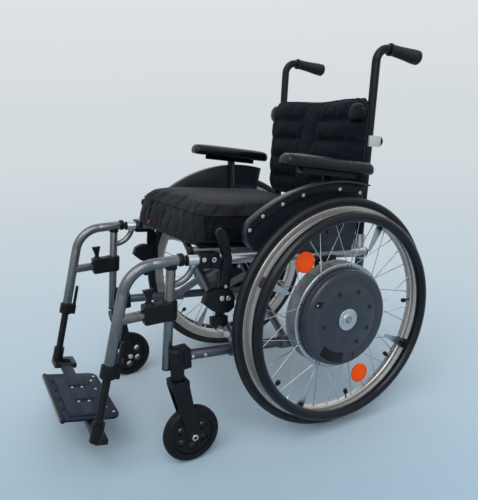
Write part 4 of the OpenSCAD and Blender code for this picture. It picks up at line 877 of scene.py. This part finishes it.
strip = block("footplate_nose_strip", (258, 3, 7), 1.2)
seat(strip, Matrix.Translation(on_plate(PLATE_FROM + PLATE_LONG / 2, -74.4, -1))
     @ Matrix.Rotation(-TILT, 4, "X"))
dress(strip, "footplate", plate_edge)

# Brakes

for node, body, ease in (("brake_body", "side", 4.0), ("brake_lever", "brake_lever", 2.4),
                         ("brake_shoe", "brake_shoe", 2.0)):
    node_piece(node, body, powder_black, ease, 4)
BRAKE_BOLTS = [("clamp_bolt", 12, 3.6, (248.1, 72, 4), "side"),
               ("strap_screw", 12, 0.4, (254.0, 95, 4), "side"),
               ("lever_bolt", 10, 3, (262.4, 124, -58), "brake_lever"),
               ("shoe_bolt", 14, 4.4, (266.9, 113, -84), "brake_shoe"),
               ("cover_bolt", 14, 4.4, (266.9, 130, -85), "side")]
for name, d, h, spot, body in BRAKE_BOLTS:
    bolts("left_brake_" + name, d, h, [facing(on_rail(*spot), OUT)], body, bright_steel)
sleeve = turned("left_shoe_sleeve", [(7.1, 0), (7.5, 0), (8, 0.6), (8, 36.4), (7.4, 37.6), (0, 38),
                                     (0, 37.2), (7.1, 37.2)], 36, True)
both_sides(seat(sleeve, facing(on_rail(268.4, 112, -157), OUT)), "brake_shoe", ring_alloy)

# Side guards and armrests

parts = loose_parts(cad_copy("left_side_guard", 0.9))
parts[0].name = "left_guard_panel"
both_sides(parts[0], "side", guard_plastic, "side_guard")
parts[1].name = "left_guard_strip"
both_sides(parts[1], "side", black_plastic)
GUARD_BOLTS = [(-231.7, 544.9), (-196.4, 573.2), (-141.4, 595.1), (-83.2, 610.4), (26.2, 614.1),
               (90.3, 598.9)]
bolts("left_guard_bolts", 10, 2.6, [facing(at(267.7, y, z), OUT) for y, z in GUARD_BOLTS], "side",
      bright_steel)
node_piece("armrest_post", "armrest", powder_black, 1.6, 3)

# Back canes and grips

cane_parts = {"left_cane_tube": [], "left_cane_clamp": [], "left_cane_knob": []}
for part in loose_parts(cad_copy("left_back_cane", 1.2, 3)):
    low, high = corners(part)
    spot = (Vector((low + high) / 2) - on_cane(CANE_X, 0, 293)) * 1000
    kind = "tube" if abs(spot.z) > 20 or max(high - low) > 0.1 else "knob" if spot.y > 20 else "clamp"
    cane_parts["left_cane_" + kind].append(part)
for name, finish, node in (("left_cane_tube", powder_black, "back_cane"),
                           ("left_cane_clamp", clamp_grey, None),
                           ("left_cane_knob", black_plastic, None)):
    both_sides(join(name, *cane_parts[name]), "side", finish, node)

GRIP = [(9.8, 1), (14.5, 1), (15.9, 2.2), (16.3, 4.5), (15.6, 7.6), (13.6, 10)]
for k in range(14):
    h = 12 + k * 5.6
    swell = 13.3 + 4.2 * (k / 13) ** 1.6
    GRIP += [(swell, h), (swell + 1.1, h + 1.2), (swell + 1.1, h + 3.2), (swell + 0.1, h + 4.4)]
GRIP += [(17.8, 92), (18.8, 95), (19, 99), (18.7, 102.5), (17, 104.6), (0, 105), (0, 99.2), (9.8, 99.2)]
grip = turned("left_grip_sleeve", GRIP, 36, True)
DROOP = math.radians(11)
cane_top = on_cane(CANE_X, 0, 491)
HANDLE_BEND = 35
start = cane_top + Vector((0, HANDLE_BEND * (math.cos(RECLINE) + math.sin(DROOP)),
                           HANDLE_BEND * (math.cos(DROOP) - math.sin(RECLINE)))) / 1000
way = (0, math.cos(DROOP), -math.sin(DROOP))
both_sides(seat(grip, facing(start, way)), "side", grip_rubber, "push_grip")

# Cross braces

for name, x in (("cross_brace_left", -185), ("cross_brace_right", 185)):
    dress(cad_copy(name, 0.5), name, brace_grey, name)
    cap = turned("cap", [(0, -3), (8.4, -3), (10.6, -2), (11.3, -0.4), (11.3, 7), (10.6, 7.6), (0, 7.6)],
                 28)
    places = [facing(on_rail(x, u, 10), RAIL_BACK * way) for u, way in ((62, 1), (492, -1))]
    dress(copies(cap, name + "_caps", places), name, black_plastic)

for side in ("left", "right"):
    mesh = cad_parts[side + "_battery_pack"].data
    mesh.materials.clear()
    mesh.materials.append(pack_blue)


# Soft goods

def lay_map(obj, flat=None):
    # A map in metres: by the side each face looks to, or along two given ways
    mesh = obj.data
    layer = mesh.uv_layers.get("cloth") or mesh.uv_layers.new(name="cloth")
    index = np.empty(len(mesh.loops), int)
    mesh.loops.foreach_get("vertex_index", index)
    points = vertex_places(obj)[index]
    if flat:
        uv = np.stack([points @ np.array(flat[0]), points @ np.array(flat[1])], 1)
    else:
        normal = np.empty(len(mesh.polygons) * 3)
        mesh.polygons.foreach_get("normal", normal)
        count = np.empty(len(mesh.polygons), int)
        mesh.polygons.foreach_get("loop_total", count)
        main = np.repeat(np.abs(normal.reshape(-1, 3)).argmax(1), count)
        sideways = np.where((main == 1)[:, None], points[:, [0, 2]], points[:, [0, 1]])
        uv = np.where((main == 0)[:, None], points[:, [1, 2]], sideways)
    layer.data.foreach_set("uv", uv.ravel())
    return obj


def move_vertices(obj, co):
    obj.data.vertices.foreach_set("co", np.ascontiguousarray(co, np.float32).ravel())
    obj.data.update()


def puff(obj, pressure, cap, held, frames, slack, stiff):
    # Blows the cover up with cloth simulation; held points stay, and no point moves further than the cap
    rest = vertex_places(obj)
    pins = obj.vertex_groups.new(name="held")
    for index in np.nonzero(held)[0]:
        pins.add([int(index)], 1.0, "REPLACE")
    modifier = obj.modifiers.new("puff", "CLOTH")
    values = modifier.settings
    values.quality = 4
    values.mass = 0.25
    values.tension_stiffness = stiff
    values.compression_stiffness = stiff
    values.shear_stiffness = stiff / 3
    values.bending_stiffness = 0.4
    values.use_pressure = True
    values.uniform_pressure_force = pressure
    values.shrink_min = -slack
    values.vertex_group_mass = "held"
    values.effector_weights.gravity = 0.0
    modifier.point_cache.frame_end = frames
    for number in range(1, frames + 1):
        bpy.context.scene.frame_set(number)
    hold(obj)
    bpy.ops.object.modifier_apply(modifier="puff")
    bpy.context.scene.frame_set(1)
    obj.vertex_groups.clear()
    moved = vertex_places(obj) - rest
    length = np.linalg.norm(moved, axis=1, keepdims=True)
    move_vertices(obj, rest + moved * np.minimum(1.0, cap / 1000 / np.maximum(length, 1e-9)))
    return obj


def touch(obj, start, way):
    # Where a line first meets a piece, and the surface's normal there
    hit, place, normal, _ = obj.ray_cast(Vector(start), Vector(way).normalized())
    return (place, normal) if hit else (None, None)


def fold_with_canes(obj):
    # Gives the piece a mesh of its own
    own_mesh(obj)
    return obj


def fold_with_rails(obj):
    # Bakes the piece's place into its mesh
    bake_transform(obj)
    return obj


# Seat sling: one stretched sheet across the two seat rails, a little slack in the middle; its rear edge
# leaves room for the backrest when the chair folds

SLING_UP = 21.4
SLING_FROM, SLING_LONG, SLING_WIDE, SLING_SAG = 82, 392, 392, 5.0
SEAT_RAIL_X = 172
sling = started("seat_sling_cloth", bpy.ops.mesh.primitive_grid_add, x_subdivisions=44, y_subdivisions=44,
                size=1)
co = vertex_places(sling)
x = co[:, 0] * SLING_WIDE
u = SLING_FROM + (co[:, 1] + 0.5) * SLING_LONG
sag = -SLING_SAG * (1 - np.minimum(1, np.abs(x) / SEAT_RAIL_X) ** 2) * (1 - np.abs(2 * co[:, 1]) ** 6 * 0.6)
ripple = 0.5 * np.sin(u / 17.0) * np.exp(-((np.abs(x) - SEAT_RAIL_X) / 20) ** 2)
move_vertices(sling, [on_rail(a, b, SLING_UP + 1.2 + c) for a, b, c in zip(x, u, sag + ripple)])
use_modifier(sling, "SOLIDIFY", thickness=0.0016, offset=0.0)
lay_map(smooth(sling, 60), (OUT, RAIL_BACK))
dress(sling, None, sling_cloth, "seat_sling")
fold_with_rails(sling)
for name, u in (("sling_front_hem", 84), ("sling_rear_hem", 472)):
    path = [on_rail(a, u, SLING_UP + 1.2 - SLING_SAG * 0.4 * (1 - min(1, abs(a) / SEAT_RAIL_X) ** 2))
            for a in range(-194, 195, 8)]
    hem = lay_map(tube_along(name, path, 3.4))
    fold_with_rails(dress(hem, None, piping_cloth))

# Seat cushion: a crowned block with drawn-in sides, blown up, with piping, corner seams and a zip tape

CUSHION_MID = 272
CUSHION_LOW = SLING_UP + 3.2
HALF_LONG, HALF_WIDE, HALF_HIGH = 222, 212, 45
WRAP = 46
cushion = cad_copy("seat_cushion", name="seat_cushion_cover")
middle = np.array(on_rail(0, CUSHION_MID, CUSHION_LOW + HALF_HIGH))
up, back = np.array(RAIL_UP), np.array(RAIL_BACK)
co = vertex_places(cushion)
rel = co - middle
across, along, above = rel[:, 0], rel @ back, rel @ up
# The front face leans out below, and its left corner is set back
flare = np.clip((-0.09 - along) / 0.1, 0, 1) * (0.5 - (above + 0.045) / 0.08)
along = along - 0.016 * flare
along += 0.032 * np.clip((-0.04 - along) / 0.17, 0, 1) * np.clip((across - 0.02) / 0.19, 0, 1) ** 1.5
# Near the front the sides lean out below too, the left one less
far_side = np.where(across < 0, 1.0, 0.2)
across = across + 0.014 * flare * np.sign(across) * np.clip(np.abs(across) / 0.15, 0, 1) * far_side
# The top is dished by sitting
dish = 0.020 * np.exp(-(across / 0.12) ** 2 - ((along - 0.02) / 0.15) ** 2)
dish = np.clip((above - 0.03) / 0.05, 0, 1) * dish
DRAWN_IN = 0.982
co = middle + np.outer(across, (1, 0, 0)) * DRAWN_IN + np.outer(along, back) * DRAWN_IN
move_vertices(cushion, co + np.outer(above - dish, up))
remesh(cushion, 6.5)
rel = vertex_places(cushion) - middle
puff(cushion, 4.0, 9, (rel @ up) < -0.042, 18, 0.03, 8.0)
use_modifier(cushion, "SUBSURF", levels=1, render_levels=1)
co = vertex_places(cushion)
above = (co - middle) @ up
# The underside lies flat on the sling, and the front edge hangs over the sling's hem
co -= np.outer(np.minimum(above + 0.0448, 0), up)
ahead = np.clip((-0.14 - (co - middle) @ back) / 0.07, 0, 1)
co -= np.outer(0.009 * ahead * np.clip(0.6 - (above + 0.045) / 0.08, 0, 0.6) / 0.6, up)
move_vertices(cushion, co)
lay_map(smooth(cushion, 60))


def cushion_spot(turn, above, off):
    # The place on the cushion's side at a turn about its middle and a height over its underside
    a = math.radians(turn)
    way = OUT * math.cos(a) + RAIL_BACK.normalized() * math.sin(a)
    start = on_rail(0, CUSHION_MID, CUSHION_LOW + above) + way * 0.6
    place, normal = touch(cushion, start, -way)
    return place + normal * off / 1000


ring_turns = [k * 2.25 for k in range(160)]
TOP_EDGE, SIDE_SEAM, LOW_EDGE = 70, 46, 9
trims = []
for name, above, off, d in (("cushion_top_piping", TOP_EDGE, 0.6, 4.6),
                            ("cushion_side_seam", SIDE_SEAM, -0.2, 2.2),
                            ("cushion_low_piping", LOW_EDGE, 0.4, 4.0)):
    trims.append(lay_map(tube_along(name, [cushion_spot(t, above, off) for t in ring_turns], d, True)))
corner_turns = [math.degrees(math.atan2(s * (HALF_LONG - WRAP), c * HALF_WIDE))
                for s in (-1, 1) for c in (-1, 1)]
seams = [tube_along("corner", [cushion_spot(t, h, 0.2) for h in range(LOW_EDGE, TOP_EDGE + 1, 4)], 2.4)
         for t in corner_turns]
trims.append(lay_map(join("cushion_corner_seams", *seams)))


def side_tape(name, x, wide, low, high, thick):
    # A tape sewn up the cushion's front face
    obj = started(name, bpy.ops.mesh.primitive_grid_add, x_subdivisions=6, y_subdivisions=30, size=1)
    places = []
    for v in vertex_places(obj):
        h = low + (v[1] + 0.5) * (high - low)
        start = on_rail(x + v[0] * wide + 9 * (0.5 - v[1]) ** 2, CUSHION_MID, CUSHION_LOW + h)
        start = start - RAIL_BACK * 0.6
        place, normal = touch(cushion, start, RAIL_BACK)
        places.append(place + normal * 0.0008)
    move_vertices(obj, places)
    use_modifier(obj, "SOLIDIFY", thickness=thick / 1000, offset=0.6)
    ease_edges(obj, 0.5, 2, 50)
    return lay_map(obj)


trims.append(side_tape("cushion_zip_tape", -118, 15, 7, 68, 1.6))
trims.append(side_tape("cushion_zip_cord", -104, 3.6, 6, 69, 2.4))
pull = block("cushion_zip_pull", (7, 4, 17), 1.4)
pull_spot, _ = touch(cushion, on_rail(-92, CUSHION_MID, CUSHION_LOW + 10) - RAIL_BACK * 0.6, RAIL_BACK)
hang = Matrix.Rotation(-PITCH, 4, "X") @ Matrix.Rotation(0.9, 4, "Y")
seat(pull, Matrix.Translation(pull_spot - RAIL_BACK * 0.0026) @ hang)
dress(cushion, None, cover_cloth, "seat_cushion")
cushion.data.materials.append(side_mesh)
for face in cushion.data.polygons:
    rel = face.center - Vector(middle)
    h = rel.dot(Vector(up)) * 1000 + HALF_HIGH
    on_side = abs(face.normal.dot(OUT)) > 0.55 and abs(rel.dot(Vector(back))) * 1000 < HALF_LONG - WRAP
    on_rear = h < SIDE_SEAM and face.normal.dot(RAIL_BACK) > 0.5
    if h < TOP_EDGE and (on_side or on_rear):
        face.material_index = 1
fold_with_rails(cushion)
for piece in trims:
    fold_with_rails(dress(piece, None, piping_cloth))
fold_with_rails(dress(pull, None, zip_red))

# Backrest: ribbed sides, a plain middle band and smooth shoulder pads, blown up between its seams

BACK_FROM, BACK_TALL = 118, 284
BACK_FACE = -11.4
RIBS, RIB_STEP = 5, BACK_TALL / 5
RIBS_TO = 168
backrest = cad_copy("backrest", name="backrest_cover")
remesh(backrest, 4.4)
cane_up, cane_back = np.array(CANE_UP), np.array(CANE_BACK)
origin = np.array(on_cane(0, 0, BACK_FROM))


def back_coordinates(obj):
    rel = (vertex_places(obj) - origin) * 1000
    return rel[:, 0], rel @ cane_back, rel @ cane_up


def rib_line(s):
    # Distance from the nearest channel between the ribs
    return np.abs((s + RIB_STEP / 2) % RIB_STEP - RIB_STEP / 2)


def rib_start(s, cos):
    # Where the ribs begin beside the plain middle band
    return 34 + 5 * cos(s / BACK_TALL * math.pi * 2)


x, b, s = back_coordinates(backrest)
side = np.abs(x)
rib_end = rib_start(s, np.cos)
in_ribs = (side > rib_end) & (side < RIBS_TO)
channel = (in_ribs & (rib_line(s) < 3)) | (np.abs(side - rib_end) < 3.2) | (np.abs(side - RIBS_TO) < 3.2)
front = b < BACK_FACE - 8
swell = np.clip(rib_line(s) / (RIB_STEP / 2), 0, 1)
ends = np.clip(np.minimum(side - rib_end, RIBS_TO - side) / 20, 0, 1)
roll = 13.0 * np.sqrt((1 - (1 - swell) ** 2) * (1 - (1 - ends) ** 2))
# The channels are drawn in by 6 mm and the ribs roll out between them; the other fields stay nearly level
depth = np.where(front, 6.0 - roll, 0.0) - np.where(front & (side < rib_end), 8.0, 0.0)
depth += np.where(front & (side > RIBS_TO), -6.0, 0.0)
# The face bulges at the small of the back, and the upper edge gives way backwards and down in the middle
lumbar = np.where(front, -13.0 * np.exp(-((s - 85) / 80) ** 2 - (x / 150) ** 2), 0.0)
sag = 10.0 * np.exp(-((s - BACK_TALL) / 95) ** 2 - (x / 120) ** 2)
co = vertex_places(backrest) + np.outer((depth + lumbar + sag) / 1000, cane_back)
co -= np.outer(5.0 * np.exp(-(x / 90) ** 2) * np.clip((s - 170) / 110, 0, 1) / 1000, cane_up)
move_vertices(backrest, co)
puff(backrest, 4.0, 4, channel | (b > BACK_FACE - 4), 16, 0.02, 10.0)
use_modifier(backrest, "SUBSURF", levels=1, render_levels=1)
lay_map(smooth(backrest, 60), (OUT, CANE_UP))


def back_spot(x, s, off):
    place, normal = touch(backrest, on_cane(x, -150, BACK_FROM + s), CANE_BACK)
    return place + normal * off / 1000 if place else None


def back_stitch(spots, d=1.7):
    places = [back_spot(a, c, 0.1) for a, c in spots]
    return tube_along("stitch", [p for p in places if p], d)


stitches = []
levels = range(10, 276, 6)
for way in (-1, 1):
    for k in range(1, RIBS):
        stitches.append(back_stitch([(way * (38 + 4 * j), RIB_STEP * k) for j in range(32)]))
    for off in (0, 7):
        stitches.append(back_stitch([(way * (rib_start(c, math.cos) - off), c) for c in levels], 1.5))
    stitches.append(back_stitch([(way * RIBS_TO, c) for c in levels], 2.0))
stitches = lay_map(join("backrest_stitching", *stitches))


def back_rim_spot(turn, behind):
    a = math.radians(turn)
    way = OUT * math.cos(a) + CANE_UP * math.sin(a)
    place, normal = touch(backrest, on_cane(0, behind, BACK_FROM + BACK_TALL / 2) + way * 0.5, -way)
    return place + normal * 0.0004


rim_turns = [k * 2.0 for k in range(180)]
rim_spots = [back_rim_spot(t, BACK_FACE - 9) for t in rim_turns]
back_piping = lay_map(tube_along("backrest_piping", rim_spots, 5.0, True))

shoulder = started("shoulder", bpy.ops.mesh.primitive_uv_sphere_add, segments=40, ring_count=24,
                   radius=0.001)
open_mesh(shoulder)
bpy.ops.transform.resize(value=(30, 12, 26), center_override=(0, 0, 0))
bpy.ops.mesh.bisect(plane_co=(0, 0.005, 0), plane_no=(0, 1, 0), clear_outer=True, use_fill=True)
close_mesh()
pick_faces(shoulder, lambda c, n: c.z > 0.008)
bpy.ops.transform.resize(value=(1.06, 1.0, 0.94), center_override=(0, 0, 0))
close_mesh()
merge_and_turn_out(shoulder)
smooth(shoulder, 60)


def against_back(x, s, sunk):
    # A frame on the backrest whose Y runs into it
    place, normal = touch(backrest, on_cane(x, -150, BACK_FROM + s), CANE_BACK)
    into = (-normal + CANE_BACK).normalized()
    across = into.cross(CANE_UP).normalized()
    turn = Matrix((across, into, across.cross(into))).transposed().to_4x4()
    return Matrix.Translation(place + into * sunk / 1000) @ turn


places = [against_back(way * 197, 246, 6.0) for way in (-1, 1)]
shoulders = lay_map(copies(shoulder, "backrest_shoulder_pads", places))
dress(backrest, "left_side", back_mesh, "backrest")
fold_with_canes(backrest)
for piece, finish in ((stitches, piping_cloth), (back_piping, piping_cloth), (shoulders, vinyl_black)):
    fold_with_canes(dress(piece, "left_side", finish))

# Armrest pads: skinned foam, with a moulding line low on the side

pad = cad_copy("left_armrest_pad", name="left_armrest_pad_skin")
remesh(pad, 4.0)
slope = Matrix.Rotation(math.radians(-9.5), 4, "X")
PAD_UP = slope @ UP
PAD_BACK = slope @ BACK
PAD_MIDDLE = at(258, -4, 662)
height = (vertex_places(pad) - np.array(PAD_MIDDLE)) @ np.array(PAD_UP)
puff(pad, 3.0, 1.6, height < 0.003, 12, 0.0, 20.0)
use_modifier(pad, "SMOOTH", factor=0.5, iterations=6)
use_modifier(pad, "SUBSURF", levels=1, render_levels=1)
lay_map(smooth(pad, 60))

spots = []
for t in range(120):
    a = 2 * math.pi * t / 120
    reach = 1.35 * math.sin(a)
    target = PAD_MIDDLE + PAD_UP * 0.008 + PAD_BACK * 0.104 * max(-1, min(1, reach))
    way = OUT * math.cos(a) + PAD_BACK * math.sin(a) * (1.0 if abs(reach) > 1 else 0.0)
    place, normal = touch(pad, target + way * 0.3, -way)
    if place:
        spots.append(place)
pad_line = tube_along("left_armrest_pad_line", spots, 1.6, True)
both_sides(pad_line, "armrest", gloss_black)
for piece in both_sides(pad, "armrest", pad_skin, "armrest_pad"):
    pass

# Floor, light and camera

CAMERA = at(1309, -812, 812)
CAMERA_RIGHT = (0.475, 0.879, -0.032)
CAMERA_UP = (-0.209, 0.148, 0.967)
CAMERA_BACK = (0.855, -0.453, 0.254)
HALF_VIEW = 0.4684
LOOK = -Vector(CAMERA_BACK).normalized()
AHEAD = Vector((LOOK.x, LOOK.y, 0)).normalized()
DOWN = -LOOK.z / math.hypot(LOOK.x, LOOK.y)
PALE, DEEP = lin("#dfe2e4"), lin("#a6bfcd")
FLOOR_GAIN = 1.05


def backdrop_colour(w, slope):
    # The backdrop runs from pale above to deeper blue below; slope is the fall of the sight line
    below = w.math("DIVIDE", w.math("SUBTRACT", slope, DOWN),
                   w.math("ADD", w.math("MULTIPLY", slope, DOWN), 1.0))
    return w.mix(w.remap(below, -HALF_VIEW, HALF_VIEW), PALE, DEEP)


def floor_finish():
    mat, w, shader, coords = new_finish("floor", 0.85, Specular_IOR_Level=0.1)
    ahead = w.node("ShaderNodeVectorMath", {0: coords["Object"], 1: AHEAD},
                   operation="DOT_PRODUCT").outputs["Value"]
    away = w.math("MAXIMUM", w.math("SUBTRACT", ahead, CAMERA.dot(AHEAD)), 0.5)
    reach = w.node("ShaderNodeVectorMath", {0: coords["Object"]}, operation="LENGTH").outputs["Value"]
    level_out = w.remap(reach, 3.0, 9.0, 1.0, 0.0)
    colour = backdrop_colour(w, w.math("MULTIPLY", w.math("DIVIDE", CAMERA.z, away), level_out))
    brighter = (FLOOR_GAIN, FLOOR_GAIN, FLOOR_GAIN, 1)
    gain = w.node("ShaderNodeMix", {0: 1.0, 6: colour, 7: brighter}, data_type="RGBA",
                  blend_type="MULTIPLY")
    w.link(gain.outputs[2], shader.inputs["Base Color"])
    plain = w.node("ShaderNodeEmission", {"Color": colour, "Strength": 1.0})
    far = w.math("MULTIPLY", w.remap(reach, 0.8, 1.9), w.seen())
    blend = w.node("ShaderNodeMixShader", {0: far, 1: shader.outputs[0], 2: plain.outputs[0]})
    out = next(n for n in w.tree.nodes if n.type == "OUTPUT_MATERIAL")
    w.link(blend.outputs[0], out.inputs["Surface"])
    return mat


floor = started("floor", bpy.ops.mesh.primitive_circle_add, vertices=96, radius=60, fill_type="NGON")
floor.data.materials.append(floor_finish())

world = bpy.data.worlds.new("studio")
bpy.context.scene.world = world
world.use_nodes = True
world.node_tree.nodes.clear()
w = Wiring(world.node_tree)
direction = w.node("ShaderNodeTexCoord").outputs["Generated"]
rise = w.node("ShaderNodeSeparateXYZ", {0: direction}).outputs[2]
level = w.math("SQRT", w.math("MAXIMUM", w.math("SUBTRACT", 1.0, w.math("MULTIPLY", rise, rise)), 0.0001))
sky = w.mix(w.remap(rise, -0.1, 0.9), lin("#a9b6c1"), lin("#f6f8fb"))
fall = w.math("DIVIDE", w.math("MULTIPLY", rise, -1.0), level)
backdrop = w.node("ShaderNodeBackground", {"Color": backdrop_colour(w, fall), "Strength": 1.0})
light = w.node("ShaderNodeBackground", {"Color": sky, "Strength": 0.62})
choice = w.node("ShaderNodeMixShader", {0: w.seen(), 1: light.outputs[0], 2: backdrop.outputs[0]})
w.node("ShaderNodeOutputWorld", {"Surface": choice.outputs[0]})


def lamp(name, kind, place, target, power, colour, **values):
    data = bpy.data.lights.new(name, kind)
    data.energy = power
    data.color = colour[:3]
    for key, value in values.items():
        setattr(data, key, value)
    obj = bpy.data.objects.new(name, data)
    bpy.context.scene.collection.objects.link(obj)
    obj.location = place
    obj.rotation_euler = (Vector(target) - Vector(place)).to_track_quat("-Z", "Y").to_euler()


lamp("key_light", "SUN", (1.2, -1.4, 3.0), (0, 0, 0.5), 1.25, lin("#ffffff"), angle=math.radians(50))
lamp("rear_light", "SUN", (-2.0, 2.2, 3.0), (0, 0, 0.5), 0.45, lin("#eaf1ff"), angle=math.radians(60))
lamp("side_softbox", "AREA", (2.6, -0.6, 2.2), (0, 0, 0.5), 18, lin("#eef4ff"), shape="RECTANGLE", size=0.7,
     size_y=2.2)

camera_data = bpy.data.cameras.new("photo_view")
camera_data.lens = 38.46
camera_data.sensor_width = 36
camera = bpy.data.objects.new("photo_view", camera_data)
bpy.context.scene.collection.objects.link(camera)
turn = Matrix((CAMERA_RIGHT, CAMERA_UP, CAMERA_BACK)).transposed().to_4x4()
camera.matrix_world = Matrix.Translation(CAMERA) @ turn
bpy.context.scene.camera = camera
bpy.context.scene.view_settings.view_transform = "Standard"
